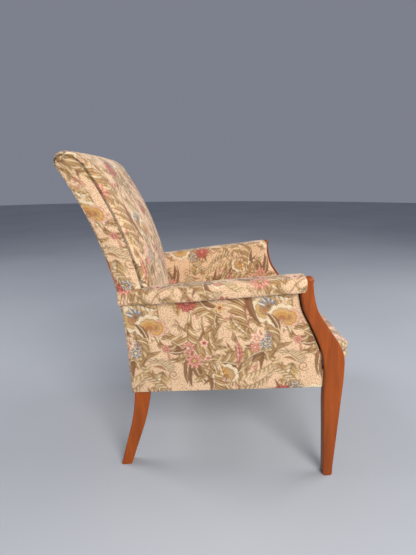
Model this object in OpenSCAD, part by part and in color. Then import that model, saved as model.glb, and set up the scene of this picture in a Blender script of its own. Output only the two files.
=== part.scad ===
// Upholstered armchair with swept show-wood front legs, sabre rear legs and a raked, rolled back.
// Front is -Y, up is +Z and the sitter's left is +X. The origin is on the floor under the middle.
// A side plane leans in towards the back; the left half is modelled and mirrored for the right.

/* [Overall] */
// Half width over the outer faces of the front legs
front_half_w = 332; // [326:1:338]
// Half width of the covered back
back_half_w = 262; // [260:1:264]
// Front of the seat cushion, in front of the middle
front_reach = 396; // [392:1:400]
// Rise of the top roll over the end of the back's straight rise
roll_h = 37; // [34:1:40]

/* [Legs] */
// Thickness of a front leg
front_leg_t = 28; // [26:1:29]
// Thickness of a rear leg
rear_leg_t = 32; // [30:1:34]
// Radius of the rounded tip of a front leg
tip_r = 12; // [11:0.5:13]
// Depth of a rear leg at the foot
rear_foot_d = 31; // [29:1:34]
// Depth of a rear leg at the seat
rear_seat_d = 43; // [42:1:44]
// Depth of a rear leg just below the covers
rear_knee_d = 46; // [45:1:47]
// Radius of the sabre curve of a rear leg
sabre_r = 540; // [520:10:600]

/* [Seat] */
// Underside of the side rails at the front legs
seat_front_z = 280; // [276:1:284]
// Fall of the side rails towards the back
seat_slope = 3.75; // [3.5:0.05:4]
// Height of the side rails
rail_h = 48; // [46:1:50]
// Thickness of the seat rails
rail_t = 22; // [20:1:24]
// Thickness of the seat cushion
cushion_t = 78; // [72:1:84]
// Number of tension springs under the seat
seat_spring_count = 7; // [5:1:7]

/* [Arms] */
// Underside of the arm covers at the front legs
arm_front_z = 556; // [554:0.5:558]
// Fall of the arms towards the back
arm_slope = 5.5; // [5.3:0.1:5.7]
// Height of an arm cover
arm_pad_h = 40; // [38:1:41]
// Overhang of an arm cover beyond the side frame
arm_overhang = 27; // [25:1:28]
// Reach of an arm cover to the inside
arm_reach = 44; // [43:1:45]

/* [Back] */
// Depth of the covered back at its borders
back_t = 68; // [66:1:70]
// Crown of the padded inside back
back_crown = 48; // [40:1:50]
// Lean of the straight lower back, rearward per unit of height
back_lean = 0.055; // [0.05:0.005:0.06]
// Radius of the curve of the upper back
back_r = 930; // [920:5:950]
// Number of tension springs in the back
back_spring_count = 5; // [4:1:6]

/* [Fixings] */
// Diameter of the dowels
dowel_d = 8; // [7:0.5:8]
// Length of the dowels
dowel_l = 46; // [40:1:46]

/* [Hidden] */
$fn = 48;

wood = [0.55, 0.27, 0.12];
frame_wood = [0.80, 0.68, 0.48];
steel = [0.62, 0.63, 0.65];
fabric = [0.80, 0.69, 0.52];
foam = [0.93, 0.90, 0.78];

gap = 0.3;            // play between touching pieces of different kinds
hole_play = 0.1;      // play round a dowel
cover_t = 4;          // thickness of a stretched cover with its lining
far = 1000;           // longer than anything it cuts

// Side frame: outer faces of the rails, from the front leg to the rear corner
side_recess = 14;
joint_y = -296;
rear_corner_y = 235;
side_front_x = front_half_w - side_recess;
side_rear_x = back_half_w - cover_t;
taper = atan((side_front_x - side_rear_x) / (rear_corner_y - joint_y));
function side_x(y) = side_front_x - (y - joint_y) * tan(taper);
function along_side(y) = (y - joint_y) / cos(taper);

// Heights that fall towards the back
function seat_z(y) = seat_front_z - along_side(y) * tan(seat_slope);
function arm_z(y) = arm_front_z - along_side(y) * tan(arm_slope);

// Rear surface of the covered back: a straight lean, then an arc
back_foot_z = 242;
bend_z = 400;
rise_end = 868;
function bend(z) = z > bend_z ? back_r - sqrt(back_r * back_r - (z - bend_z) * (z - bend_z)) : 0;
function back_y(z) = rear_corner_y + back_lean * (z - back_foot_z) + bend(z);

// A smooth curve through hand-set points (Catmull-Rom), with steps pieces between two points
function knot(p, i) = p[max(0, min(len(p) - 1, i))];
function blend(a, b, c, d, t) = 0.5 * ((2 * b) + (c - a) * t + (2 * a - 5 * b + 4 * c - d) * t * t
    + (3 * b - a - 3 * c + d) * t * t * t);
function smooth(p, steps = 6) = [
    for (i = [0 : len(p) - 2], k = [0 : steps - (i == len(p) - 2 ? 0 : 1)])
        blend(knot(p, i - 1), p[i], p[i + 1], knot(p, i + 2), k / steps)
];
function flip(p) = [for (i = [len(p) - 1 : -1 : 0]) p[i]];

// Front leg, seen from the side: [y, z] of both edges and the tip
leg_front_edge = [[-336, 0], [-341, 110], [-346, 220], [-350, 325], [-342, 384], [-303, 446],
    [-270, 496], [-256, 542], [-254, 566]];
leg_rear_edge = [[-310, 0], [-303, 130], [-296, 240]];
post_rear_edge = [[-296, 318], [-285, 382], [-257, 447], [-232, 497], [-221, 542]];
post_shoulder_z = 576;
tip_y = -243;
tip_z = 579;
post_rear_y = post_rear_edge[len(post_rear_edge) - 1][0];
front_leg_outline = concat(
    smooth(leg_front_edge),
    [for (a = [210 : -15 : -15]) [tip_y + tip_r * cos(a), tip_z + tip_r * sin(a)]],
    [[post_rear_y, post_shoulder_z]],
    flip(smooth(post_rear_edge)),
    flip(smooth(leg_rear_edge))
);

// Rear leg, seen from the side: a sabre curve below the seat and the back upright above it
sabre_start = 260;
sabre_straight = 120;
upright_top = 872;
upright_back = 6;
upright_top_d = 36;
sabre_slope = (sabre_start - sabre_straight)
    / sqrt(sabre_r * sabre_r - (sabre_start - sabre_straight) * (sabre_start - sabre_straight));
function arc_off(h) = sabre_r - sqrt(sabre_r * sabre_r - h * h);
function sabre(z) = z > sabre_start ? 0
    : z > sabre_straight ? arc_off(sabre_start - z)
    : arc_off(sabre_start - sabre_straight) + (sabre_straight - z) * sabre_slope;
function rear_edge(z) = back_y(max(z, back_foot_z)) - upright_back + sabre(z);
function rear_depth(z) = z < back_foot_z
    ? rear_foot_d + (rear_knee_d - rear_foot_d) * z / back_foot_z
    : rear_seat_d + (upright_top_d - rear_seat_d) * (z - back_foot_z) / (upright_top - back_foot_z);
leg_steps = [for (i = [0 : 80]) upright_top * i / 80];
rear_leg_outline = concat(
    [for (z = leg_steps) [rear_edge(z) - rear_depth(z), z]],
    flip([for (z = leg_steps) [rear_edge(z), z]])
);

// Straight members, as [low corner, high corner]
front_rail = [[front_half_w - front_leg_t, -338, 258], [0, -314, 324]];
rear_rail = [[back_half_w - 38, 197, 250], [0, 219, 300]];
upright_x1 = back_half_w - 6;
upright_x0 = upright_x1 - rear_leg_t;
post_x0 = front_half_w - front_leg_t;

// Rails of the arms and the tacking rails, in the side frame: [x low, x high, z low, height]
arm_rail_x0 = -36;
arm_rail_x1 = 8;
arm_rail_z0 = 2;
arm_rail_h = 18;
arm_rail_end_y = 230;
pad_tail_y = 188.8;
tack_rail_t = 20;
tack_rail_h = 24;
tack_rail_rise = rail_h + 30;

// Rails of the back, by the heights they span
back_rail_t = 24;
top_rail_z = [800, 866];
bottom_rail_z = [330, 382];

// Dowels of the left side: centre of the joint and the axis they lie along
post_dowel_x = post_x0 + 6;
upright_dowel_x = upright_x1 - 6.5;
function rail_dowel(y, x, rise) = [[x, y, seat_z(y) + rise], [0, 1, 0]];
function back_dowel(z) = [[upright_x0, back_y(z) - upright_back - back_rail_t / 2, z], [1, 0, 0]];
side_rear_end = back_y(270) - upright_back - rear_seat_d;
arm_rear_end = 216;
tack_rear_end = 193;
dowels_left = [
    [[post_x0, -326, 275], [1, 0, 0]],
    [[post_x0, -326, 301], [1, 0, 0]],
    [[upright_x0, 208, 272], [1, 0, 0]],
    [[upright_x0, 208, 292], [1, 0, 0]],
    rail_dowel(joint_y, post_dowel_x, 14),
    rail_dowel(joint_y, post_dowel_x, 34),
    rail_dowel(side_rear_end, upright_dowel_x, 14),
    rail_dowel(side_rear_end, upright_dowel_x, 34),
    rail_dowel(-287, post_dowel_x, tack_rail_rise + tack_rail_h / 2),
    rail_dowel(tack_rear_end, upright_dowel_x, tack_rail_rise + tack_rail_h / 2),
    [[post_dowel_x, post_rear_y, arm_z(post_rear_y) + 11], [0, 1, 0]],
    [[upright_x0 + 8, arm_rear_end, arm_z(arm_rear_end) + 11], [0, 1, 0]],
    [[upright_x0 + 24, arm_rear_end, arm_z(arm_rear_end) + 11], [0, 1, 0]],
    back_dowel(816),
    back_dowel(850),
    back_dowel(344),
    back_dowel(368)
];

// Tension springs
spring_r = 5.5;
hook_r = 1.6;
hook_hole_r = 1.8;
hook_l = 26;
spring_rise = 38;
seat_spring_pitch = 60;
seat_spring_y0 = -240;
seat_springs_y = [for (i = [0 : seat_spring_count - 1]) seat_spring_y0 + seat_spring_pitch * i];
back_spring_setback = 30;
back_spring_low_z = 444;
back_spring_span = 340;
back_springs_z = [for (i = [0 : back_spring_count - 1])
    back_spring_low_z + back_spring_span * i / (back_spring_count - 1)];
plate_t = 2.5;
plate_x0 = -(rail_t + 0.2 + plate_t);
plate_screws_y = [87, 208, 388];
plate_screw_rise = 34;
function plate_x(y) = side_x(y) + plate_x0 / cos(taper);

// Seat cushion: plan outline, set in by d, in the sloping plane of the seat
cushion_rear_y = 130;
cushion_front_corner = 30;
cushion_rear_corner = 18;
cushion_bow = 8;
cushion_clear = 2;
cushion_bottom = spring_rise + spring_r + 0.5;
function cushion_side(y) = side_x(y) - arm_reach / cos(taper) - cushion_clear;
function corner(x, y, r, a0) = [for (a = [a0 : 15 : a0 + 90]) [x + r * cos(a), y + r * sin(a)]];
function cushion_half(d) =
    let (
        y0 = -front_reach + cushion_bow,
        cy = y0 + cushion_front_corner,
        cx = cushion_side(cy) - cushion_front_corner,
        ry = cushion_rear_y - cushion_rear_corner,
        rx = cushion_side(ry) - cushion_rear_corner
    )
    concat(
        [for (k = [0.2 : 0.2 : 0.8]) [cx * k, y0 - cushion_bow * (1 - k * k) + d]],
        corner(cx, cy, cushion_front_corner - d, -90),
        corner(rx, ry, cushion_rear_corner - d, 0)
    );
function mirrored(p) = flip([for (q = p) [-q[0], q[1]]]);

// Placing
module profile(points, x0, x1) {
    translate([x0, 0, 0]) rotate([90, 0, 90]) linear_extrude(x1 - x0) polygon(points);
}

module left_side() {
    translate([side_front_x, joint_y, 0]) rotate([0, 0, taper]) children();
}

module sloped(z0, slope) {
    translate([0, 0, z0]) rotate([-slope, 0, 0]) children();
}

module right() {
    mirror([1, 0, 0]) children();
}

// Skin over a row of folded rings: each goes out over its first half and back over its second
module loft(rings) {
    n = len(rings[0]);
    last = len(rings) - 1;
    function fold_quads(at) =
        [for (i = [0 : n / 2 - 2]) [at + i, at + i + 1, at + n - 2 - i, at + n - 1 - i]];
    function side_tris(a, b, i, j) = [[a + i, b + i, b + j], [a + i, b + j, a + j]];
    polyhedron(
        points = [for (r = rings) each r],
        faces = concat(
            fold_quads(0),
            [for (k = [0 : last - 1], i = [0 : n - 1]) each side_tris(k * n, (k + 1) * n, i, (i + 1) % n)],
            [for (q = fold_quads(last * n)) flip(q)]
        ),
        convexity = 6
    );
}

// A cylinder of length l centred on p, along direction d ([1, 0, 0] or [0, 1, 0])
module pin(p, d, r, l) {
    translate(p) rotate(d[0] == 1 ? [0, 90, 0] : [-90, 0, 0]) cylinder(r = r, h = l, center = true);
}

module dowel_set(play, extra) {
    for (d = dowels_left) pin(d[0], d[1], dowel_d / 2 + play, dowel_l + extra);
}

module dowel_holes() {
    dowel_set(hole_play, 2);
}

module front_post_solid() {
    profile(front_leg_outline, post_x0 - 2 * far, post_x0 + 2 * far);
}

module rear_leg_solid() {
    profile(rear_leg_outline, upright_x0 - far, upright_x1 + far);
}

// Legs
module front_leg() {
    color(wood) difference() {
        profile(front_leg_outline, post_x0, front_half_w);
        dowel_holes();
    }
}

module back_hook_holes() {
    for (z = back_springs_z)
        pin([upright_x0, back_y(z) - back_spring_setback, z], [1, 0, 0], hook_hole_r, 26);
}

module rear_leg() {
    color(wood) difference() {
        profile(rear_leg_outline, upright_x0, upright_x1);
        dowel_holes();
        back_hook_holes();
    }
}

// Seat frame
block_front = [[228, -313.8], [303.7, -313.8], [303.7, -296.3], [295.2, -296.3], [288.4, -236]];
block_rear = [[223.7, 196.7], [164, 196.7], [248.2, 120], [240.6, 186], [223.7, 186]];
block_h = 24;
block_front_z = 278;
block_rear_z = 252;
screw_front_z = block_front_z + block_h / 2;
screw_rear_z = block_rear_z + block_h / 2;
// Corner screws of the left side: head's seat, direction and rotation that points them
screws_left = [
    [[262, -299, screw_front_z], [90, 0, 0]],
    [[279, -262, screw_front_z], [0, 90, 0]],
    [[192, 185, screw_rear_z], [-90, 0, 0]],
    [[234, 150, screw_rear_z], [0, 90, 0]]
];
screw_r = 2;
screw_hole_r = 2.2;
screw_l = 26;
head_r = 4;
head_hole_r = 4.4;
head_h = 2.5;

module screw_set(shank_r, cap_r, cap_h, extra) {
    for (s = screws_left) translate(s[0]) rotate(s[1]) {
        cylinder(r = shank_r, h = screw_l + extra);
        translate([0, 0, -cap_h]) cylinder(r = cap_r, h = cap_h);
    }
}

module screw_holes() {
    screw_set(screw_hole_r, head_hole_r, 60, 1);
}

module screw_shank_holes() {
    screw_set(screw_hole_r, screw_hole_r, head_h, 1);
}

module seat_rail_front() {
    size = front_rail[1] - front_rail[0];
    color(frame_wood) difference() {
        translate([-post_x0, front_rail[0][1], front_rail[0][2]]) cube([2 * post_x0, size[1], size[2]]);
        dowel_holes();
        right() dowel_holes();
        screw_shank_holes();
        right() screw_shank_holes();
    }
}

module seat_rail_rear() {
    size = rear_rail[1] - rear_rail[0];
    color(frame_wood) difference() {
        translate([-upright_x0, rear_rail[0][1], rear_rail[0][2]]) cube([2 * upright_x0, size[1], size[2]]);
        dowel_holes();
        right() dowel_holes();
        screw_shank_holes();
        right() screw_shank_holes();
    }
}

// A rail of the side frame, fitted between the front post and the rear leg, cut off at y0 and y1
module side_member(x0, x1, z0, slope, h, y0, y1) {
    difference() {
        intersection() {
            left_side() sloped(z0, slope) translate([x0, -100, 0]) cube([x1 - x0, 800, h]);
            translate([0, y0, 0]) cube([far, y1 - y0, far]);
        }
        front_post_solid();
        rear_leg_solid();
        dowel_holes();
    }
}

module seat_rail_side() {
    color(frame_wood) difference() {
        side_member(-rail_t, 0, seat_front_z, seat_slope, rail_h, joint_y, 200);
        screw_shank_holes();
        plate_screw_holes();
    }
}

module arm_rail() {
    z0 = arm_front_z + arm_rail_z0;
    color(frame_wood) difference() {
        side_member(arm_rail_x0, arm_rail_x1, z0, arm_slope, arm_rail_h, post_rear_y, arm_rail_end_y);
        translate([upright_x1 + gap, pad_tail_y, 0]) cube([far, far, far]);
    }
}

module tack_rail() {
    color(frame_wood)
    side_member(-tack_rail_t, 0, seat_front_z + tack_rail_rise, seat_slope, tack_rail_h, -320, 210);
}

module corner_blocks_left() {
    difference() {
        union() {
            translate([0, 0, block_front_z]) linear_extrude(block_h) polygon(block_front);
            translate([0, 0, block_rear_z]) linear_extrude(block_h) polygon(block_rear);
        }
        screw_holes();
    }
}

module corner_blocks() {
    color(frame_wood) {
        corner_blocks_left();
        right() corner_blocks_left();
    }
}

module corner_screws() {
    color(steel) {
        screw_set(screw_r, head_r, head_h, 0);
        right() screw_set(screw_r, head_r, head_h, 0);
    }
}

module dowels() {
    color(frame_wood) {
        dowel_set(0, 0);
        right() dowel_set(0, 0);
    }
}

// Back frame
function back_band(z0, z1, from_back, to_back, n) = concat(
    [for (i = [0 : n]) [back_y(z0 + (z1 - z0) * i / n) - from_back, z0 + (z1 - z0) * i / n]],
    [for (i = [n : -1 : 0]) [back_y(z0 + (z1 - z0) * i / n) - to_back, z0 + (z1 - z0) * i / n]]
);

module back_rail(z) {
    color(frame_wood) difference() {
        profile(
            back_band(z[0], z[1], upright_back + back_rail_t, upright_back, 4), -upright_x0, upright_x0
        );
        dowel_holes();
        right() dowel_holes();
    }
}

// Springs and their plates
module plate_screw_set(shank_r, cap_r, shank_l) {
    left_side() sloped(seat_front_z, seat_slope)
    for (y = plate_screws_y) translate([plate_x0, y, plate_screw_rise]) rotate([0, 90, 0]) {
        cylinder(r = shank_r, h = shank_l);
        translate([0, 0, -1.5]) cylinder(r = cap_r, h = 1.5);
    }
}

module plate_screw_holes() {
    plate_screw_set(1.7, 1.7, 15);
}

module spring_plate() {
    color(steel) difference() {
        left_side() sloped(seat_front_z, seat_slope)
        translate([plate_x0, 34, spring_rise - 9]) cube([plate_t, 424, 16]);
        for (y = seat_springs_y)
            pin([plate_x(y), y, seat_z(y) + spring_rise], [1, 0, 0], hook_hole_r, 12);
        plate_screw_holes();
    }
}

module plate_screws() {
    color(steel) {
        plate_screw_set(1.5, 3.2, 14);
        right() plate_screw_set(1.5, 3.2, 14);
    }
}

// A tension spring across the frame, with a hook at each end
module cross_spring(y, z, half, hook_end) {
    pin([0, y, z], [1, 0, 0], spring_r, 2 * (half - hook_l));
    pin([0, y, z], [1, 0, 0], hook_r, 2 * (half + hook_end));
}

module seat_springs() {
    color(steel)
    for (y = seat_springs_y) cross_spring(y, seat_z(y) + spring_rise, plate_x(y), 1.8);
}

module back_springs() {
    color(steel)
    for (z = back_springs_z) cross_spring(back_y(z) - back_spring_setback, z, upright_x0, 12);
}

// Covers and padding
front_border_z = [254, 326];
front_border_t = 5.5;

module front_border() {
    color(fabric)
    translate([-post_x0 + gap, front_rail[0][1] - gap - front_border_t, front_border_z[0]])
    cube([2 * (post_x0 - gap), front_border_t, front_border_z[1] - front_border_z[0]]);
}

// Inside back: a ring in the y-z plane for each station across the width
inside_half_w = back_half_w - 6;
inside_low_z = 306;
inside_over_arms_z = 553;
inside_low_half_w = 216;
crown_mid_z = 740;
crown_reach = 760;
pad_back = upright_back + 40.5;
lip_back = 3.2;
roll_inner_z = 876;
cover_steps = 9;
function crown(u, z) = back_crown * (1 - pow(u, 4)) * (1 - pow((z - crown_mid_z) / crown_reach, 2));
function inside_y(u, z) = back_y(z) - back_t - crown(u, z);
function inside_ring(u) =
    let (
        x = u * inside_half_w,
        top = rise_end - 6,
        y0 = inside_y(u, top),
        y1 = back_y(rise_end),
        rise = roll_h + 6 - 10 * pow(abs(u), 8),
        y2 = back_y(top) - pad_back,
        y3 = y1 - lip_back,
        zs = [for (i = [0 : cover_steps]) inside_low_z + (top - inside_low_z) * i / cover_steps],
        outer = concat(
            [for (z = zs) [x, inside_y(u, z), z]],
            [for (a = [155 : -25 : 30]) [x, (y0 + y1) / 2 + (y1 - y0) / 2 * cos(a), top + rise * sin(a)]],
            [[x, y1, top + 4]]
        ),
        inner = concat(
            [for (z = zs) [x, back_y(z) - pad_back, z]],
            [for (k = [0 : 0.2 : 1]) [x, y2 + (y3 - y2) * k, roll_inner_z]],
            [[x, y3, top + 4]]
        )
    )
    concat(outer, flip(inner));

module inside_back() {
    stations = [-1, -0.95, -0.86, -0.7, -0.45, -0.2, 0, 0.2, 0.45, 0.7, 0.86, 0.95, 1];
    color(fabric) difference() {
        loft([for (u = stations) inside_ring(u)]);
        for (side = [0, 1]) mirror([side, 0, 0])
            translate([inside_low_half_w, 0, 0]) cube([far, far, inside_over_arms_z]);
    }
}

module outside_back() {
    color(fabric)
    profile(back_band(back_foot_z, rise_end - 5, 3.6, 0, 14), -back_half_w, back_half_w);
}

border_low_z = 509;
border_t = 5.6;
border_roll_setback = 36;
border_roll_half_d = 32;
border_roll_h = 24;
module back_border() {
    zs = [for (i = [0 : 9]) border_low_z + (rise_end - border_low_z) * i / 9];
    y_end = back_y(rise_end);
    color(fabric)
    profile(
        concat(
            [for (z = zs) [back_y(z) - back_t, z]],
            [for (a = [160 : -20 : 20])
                [
                    y_end - border_roll_setback + border_roll_half_d * cos(a),
                    rise_end + border_roll_h * sin(a),
                ]],
            flip([for (z = zs) [back_y(z) - 4, z]])
        ),
        back_half_w - border_t, back_half_w
    );
}

// Arm cover: a padded cap over the arm rail, cut round the post, the upright and the back border
arm_pad_front = -238;
arm_pad_rear = 256;
pad_tail_x = back_half_w + 0.4;
arm_top_r = 14;
arm_low_r = 5;

module arm_pad_section() {
    difference() {
        polygon(concat(
            corner(arm_overhang - arm_low_r, arm_low_r, arm_low_r, -90),
            corner(arm_overhang - arm_top_r, arm_pad_h - arm_top_r, arm_top_r, 0),
            corner(-arm_reach + arm_top_r, arm_pad_h - arm_top_r, arm_top_r, 90),
            [[-arm_reach, 0]]
        ));
        translate([arm_rail_x0 - gap, -1])
            square([arm_rail_x1 - arm_rail_x0 + 2 * gap, arm_rail_z0 + arm_rail_h + gap + 1]);
    }
}

module arm_pad() {
    y0 = along_side(arm_pad_front);
    y1 = along_side(arm_pad_rear);
    color(fabric) difference() {
        left_side() sloped(arm_front_z, arm_slope)
        translate([0, y1, 0]) rotate([90, 0, 0]) linear_extrude(y1 - y0) arm_pad_section();
        profile(front_leg_outline, post_x0 - gap, front_half_w + gap);
        translate([0, pad_tail_y, 0]) cube([pad_tail_x, far, far]);
    }
}

// Outlines in the side frame, from points [y, z]
module side_panel(points, x0, x1) {
    left_side() profile([for (p = points) [along_side(p[0]), p[1]]], x0, x1);
}

inside_arm_front = [[-334, 350], [-326, 384], [-287, 446], [-254, 496], [-240, 540]];
inside_arm_low_y = -335;
inside_arm_top_y = -237;
lip_w = 28;
function pulled(p, dy) = [for (q = p) [q[0] + dy, q[1]]];
function inside_arm_edge(dy) = concat(
    [[inside_arm_low_y + dy, seat_z(inside_arm_low_y + dy) + rail_h + 2]],
    smooth(pulled(inside_arm_front, dy), 4),
    [[inside_arm_top_y + dy, arm_z(inside_arm_top_y + dy) - gap]]
);

module inside_arm() {
    inner_x = -(rail_t + gap);
    color(fabric) union() {
        side_panel(
            concat(inside_arm_edge(0), [[203, arm_z(203) - gap], [187, seat_z(187) + rail_h + 2]]),
            -arm_reach, inner_x
        );
        intersection() {
            side_panel(concat(inside_arm_edge(0), flip(inside_arm_edge(lip_w))), inner_x - 1, 0);
            cube([2 * (post_x0 - gap), 2 * far, 2 * far], center = true);
        }
    }
}

panel_gap = 3.5;
panel_top = 1.5;
panel_under = 3;
panel_setback = 4.6;
panel_rear_top_z = 502;
module outside_arm() {
    front = pulled(smooth(post_rear_edge, 4), panel_gap);
    y_top = front[len(front) - 1][0];
    y_low = joint_y + panel_gap;
    rear_zs = [back_foot_z, 330, 420, 480];
    color(fabric)
    side_panel(
        concat(
            [[y_low, seat_z(y_low) - panel_under]],
            front,
            [[y_top, arm_z(y_top) + panel_top]],
            [[back_y(panel_rear_top_z) - panel_setback, arm_z(back_y(panel_rear_top_z)) + panel_top]],
            flip([for (z = rear_zs) [back_y(z) - panel_setback, z]])
        ),
        gap, gap + cover_t
    );
}

// Seat cushion: a cover with its zip side to the back, and the foam inside it
cover_wall = 2.5;
module cushion_block(d) {
    half = cushion_half(d);
    outline = concat(mirrored(half), half);
    translate([0, joint_y, seat_front_z + cushion_bottom]) rotate([-seat_slope, 0, 0])
    translate([0, -joint_y, d]) linear_extrude(cushion_t - 2 * d) polygon(outline);
}

module cushion_cover() {
    color(fabric) difference() {
        cushion_block(0);
        cushion_block(cover_wall);
    }
}

module cushion_core() {
    color(foam) cushion_block(cover_wall + 0.1);
}

front_leg();  // front_leg_left
right() front_leg();  // front_leg_right
rear_leg();  // rear_leg_left
right() rear_leg();  // rear_leg_right
seat_rail_front();
seat_rail_rear();
seat_rail_side();  // seat_rail_left
right() seat_rail_side();  // seat_rail_right
corner_blocks();
corner_screws();
dowels();
arm_rail();  // arm_rail_left
right() arm_rail();  // arm_rail_right
tack_rail();  // tack_rail_left
right() tack_rail();  // tack_rail_right
back_rail(top_rail_z);  // back_top_rail
back_rail(bottom_rail_z);  // back_bottom_rail
spring_plate();  // spring_plate_left
right() spring_plate();  // spring_plate_right
plate_screws();
seat_springs();
back_springs();
front_border();
inside_back();
outside_back();
back_border();  // back_border_left
right() back_border();  // back_border_right
arm_pad();  // arm_pad_left
right() arm_pad();  // arm_pad_right
inside_arm();  // inside_arm_left
right() inside_arm();  // inside_arm_right
outside_arm();  // outside_arm_left
right() outside_arm();  // outside_arm_right
cushion_cover();
cushion_core();
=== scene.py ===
# An upholstered armchair: swept show-wood front legs, sabre rear legs, raked rolled back, padded arms and
# a loose seat cushion, all in one woven floral tapestry. Metres throughout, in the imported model's frame.
import math
import bpy
import numpy as np
from mathutils import Matrix, Vector


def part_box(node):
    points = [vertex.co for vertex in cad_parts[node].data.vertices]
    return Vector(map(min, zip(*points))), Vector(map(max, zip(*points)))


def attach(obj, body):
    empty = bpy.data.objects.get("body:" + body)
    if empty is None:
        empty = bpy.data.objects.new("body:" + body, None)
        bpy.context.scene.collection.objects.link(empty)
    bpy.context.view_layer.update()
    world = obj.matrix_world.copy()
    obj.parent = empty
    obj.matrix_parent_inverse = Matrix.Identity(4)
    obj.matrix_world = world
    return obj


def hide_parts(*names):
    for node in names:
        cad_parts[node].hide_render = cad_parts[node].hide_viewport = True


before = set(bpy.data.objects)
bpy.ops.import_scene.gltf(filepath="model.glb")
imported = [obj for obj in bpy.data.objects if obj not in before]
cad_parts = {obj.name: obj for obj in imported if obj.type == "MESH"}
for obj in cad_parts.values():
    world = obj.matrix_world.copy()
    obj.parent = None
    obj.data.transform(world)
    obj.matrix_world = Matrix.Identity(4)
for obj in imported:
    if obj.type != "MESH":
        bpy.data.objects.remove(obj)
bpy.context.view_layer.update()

# ---- figures of the design
SIDE_FRONT_X = 0.318
SIDE_REAR_X = 0.258
JOINT_Y = -0.296
REAR_CORNER_Y = 0.235
TAPER = math.atan((SIDE_FRONT_X - SIDE_REAR_X) / (REAR_CORNER_Y - JOINT_Y))
SEAT_Z, SEAT_SLOPE = 0.280, math.radians(3.75)
ARM_Z, ARM_SLOPE = 0.5560, math.radians(5.5)
POST_X0, POST_X1 = 0.304, 0.332
UPRIGHT_X0, UPRIGHT_X1 = 0.224, 0.256
BACK_HALF = 0.262
BACK_T = 0.068
BACK_CROWN = 0.048
BACK_LOW_Z, BACK_LEAN = 0.242, 0.055
BEND_Z, BEND_R = 0.400, 0.930
RISE_END = 0.868
RAIL_H = 0.048


def side_x(y):
    """Outer face of the side rails."""
    return SIDE_FRONT_X - (y - JOINT_Y) * math.tan(TAPER)


def along(y):
    """Distance along a side frame, from the front leg's joint."""
    return (y - JOINT_Y) / math.cos(TAPER)


def seat_z(y):
    return SEAT_Z - along(y) * math.tan(SEAT_SLOPE)


def arm_z(y):
    return ARM_Z - along(y) * math.tan(ARM_SLOPE)


def back_y(z):
    """Rear surface of the covered back."""
    z = np.asarray(z, float)
    over = np.maximum(z - BEND_Z, 0.0)
    return REAR_CORNER_Y + BACK_LEAN * (z - BACK_LOW_Z) + BEND_R - np.sqrt(BEND_R ** 2 - over ** 2)


def side_frame(x, s, z, side):
    """A point given across, along and above a side frame; side is -1 for the right and 1 for the left."""
    wx = SIDE_FRONT_X + x * math.cos(TAPER) - s * math.sin(TAPER)
    wy = JOINT_Y + x * math.sin(TAPER) + s * math.cos(TAPER)
    return grid(side * wx, wy, z)


# ---- curves and meshes
def smooth(points, steps=8):
    """Catmull-Rom curve through points."""
    p = np.asarray(points, float)
    q = np.vstack([2 * p[0] - p[1], p, 2 * p[-1] - p[-2]])
    out = []
    for a, b, c, d in zip(q, q[1:], q[2:], q[3:]):
        for t in np.arange(steps) / steps:
            out.append(0.5 * (2 * b + (c - a) * t + (2 * a - 5 * b + 4 * c - d) * t ** 2
                              + (3 * b - a - 3 * c + d) * t ** 3))
    return np.array(out + [p[-1]])


def ease(t):
    t = np.clip(t, 0.0, 1.0)
    return t * t * (3 - 2 * t)


def wobble(p, scale, seed, octaves=2):
    """Smooth noise from a few sine waves, the same on every run; p holds points in its last axis."""
    rng = np.random.default_rng(seed)
    total = np.zeros(p.shape[:-1])
    for octave in range(octaves):
        for _ in range(6):
            way = rng.normal(size=p.shape[-1])
            way /= np.linalg.norm(way)
            total += np.sin(p @ way * (2 * math.pi / scale) * 2 ** octave * rng.uniform(0.7, 1.3)
                            + rng.uniform(0, 2 * math.pi)) / 2 ** octave
    return total / (6 * octaves) ** 0.5


def grid(*parts):
    """The parts, broadcast together and stacked in a last axis."""
    return np.stack(np.broadcast_arrays(*parts), -1)


def place(name, data):
    obj = bpy.data.objects.new(name, data)
    bpy.context.scene.collection.objects.link(obj)
    return obj


def new_object(name, verts, faces):
    data = bpy.data.meshes.new(name)
    data.from_pydata([tuple(v) for v in verts], [], [tuple(f) for f in faces])
    data.validate()
    data.update()
    data.shade_smooth()
    return place(name, data)


def patchwork(name, patches, weld=0.0003):
    """One object from patches of (points, cloth coordinates with painted shade), both rows x columns; equal points
    merge.
    """
    faces, start = [], 0
    for points, _ in patches:
        rows, cols = points.shape[:2]
        ids = np.arange(rows * cols).reshape(rows, cols) + start
        faces.append(np.stack([ids[:-1, :-1], ids[:-1, 1:], ids[1:, 1:], ids[1:, :-1]], -1).reshape(-1, 4))
        start += rows * cols
    verts, uvs = (np.vstack([patch[k].reshape(-1, 3) for patch in patches]) for k in (0, 1))
    faces = np.vstack(faces)
    key = np.round(verts / weld).astype(np.int64)
    _, first, back = np.unique(key, axis=0, return_index=True, return_inverse=True)
    merged = np.asarray(back).reshape(-1)[faces]
    corners = np.sort(merged, axis=1)
    _, once = np.unique(corners, axis=0, return_index=True)
    keep = np.zeros(len(merged), bool)
    keep[once] = True
    keep &= (np.diff(corners, axis=1) > 0).all(1)
    loops = merged[keep]
    data = bpy.data.meshes.new(name)
    data.vertices.add(len(first))
    data.vertices.foreach_set("co", verts[first].astype(np.float32).ravel())
    data.loops.add(loops.size)
    data.loops.foreach_set("vertex_index", loops.astype(np.int32).ravel())
    data.polygons.add(len(loops))
    data.polygons.foreach_set("loop_start", (np.arange(len(loops)) * 4).astype(np.int32))
    data.update(calc_edges=True)
    at_loops = uvs[faces[keep]].reshape(-1, 3).astype(np.float32)
    data.uv_layers.new(name="cloth").data.foreach_set("uv", at_loops[:, :2].ravel())
    # the third cloth coordinate is painted shade, kept for the material to darken the colour
    data.attributes.new("shade", "FLOAT", "CORNER").data.foreach_set("value", at_loops[:, 2].copy())
    data.shade_smooth()
    return place(name, data)


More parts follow.
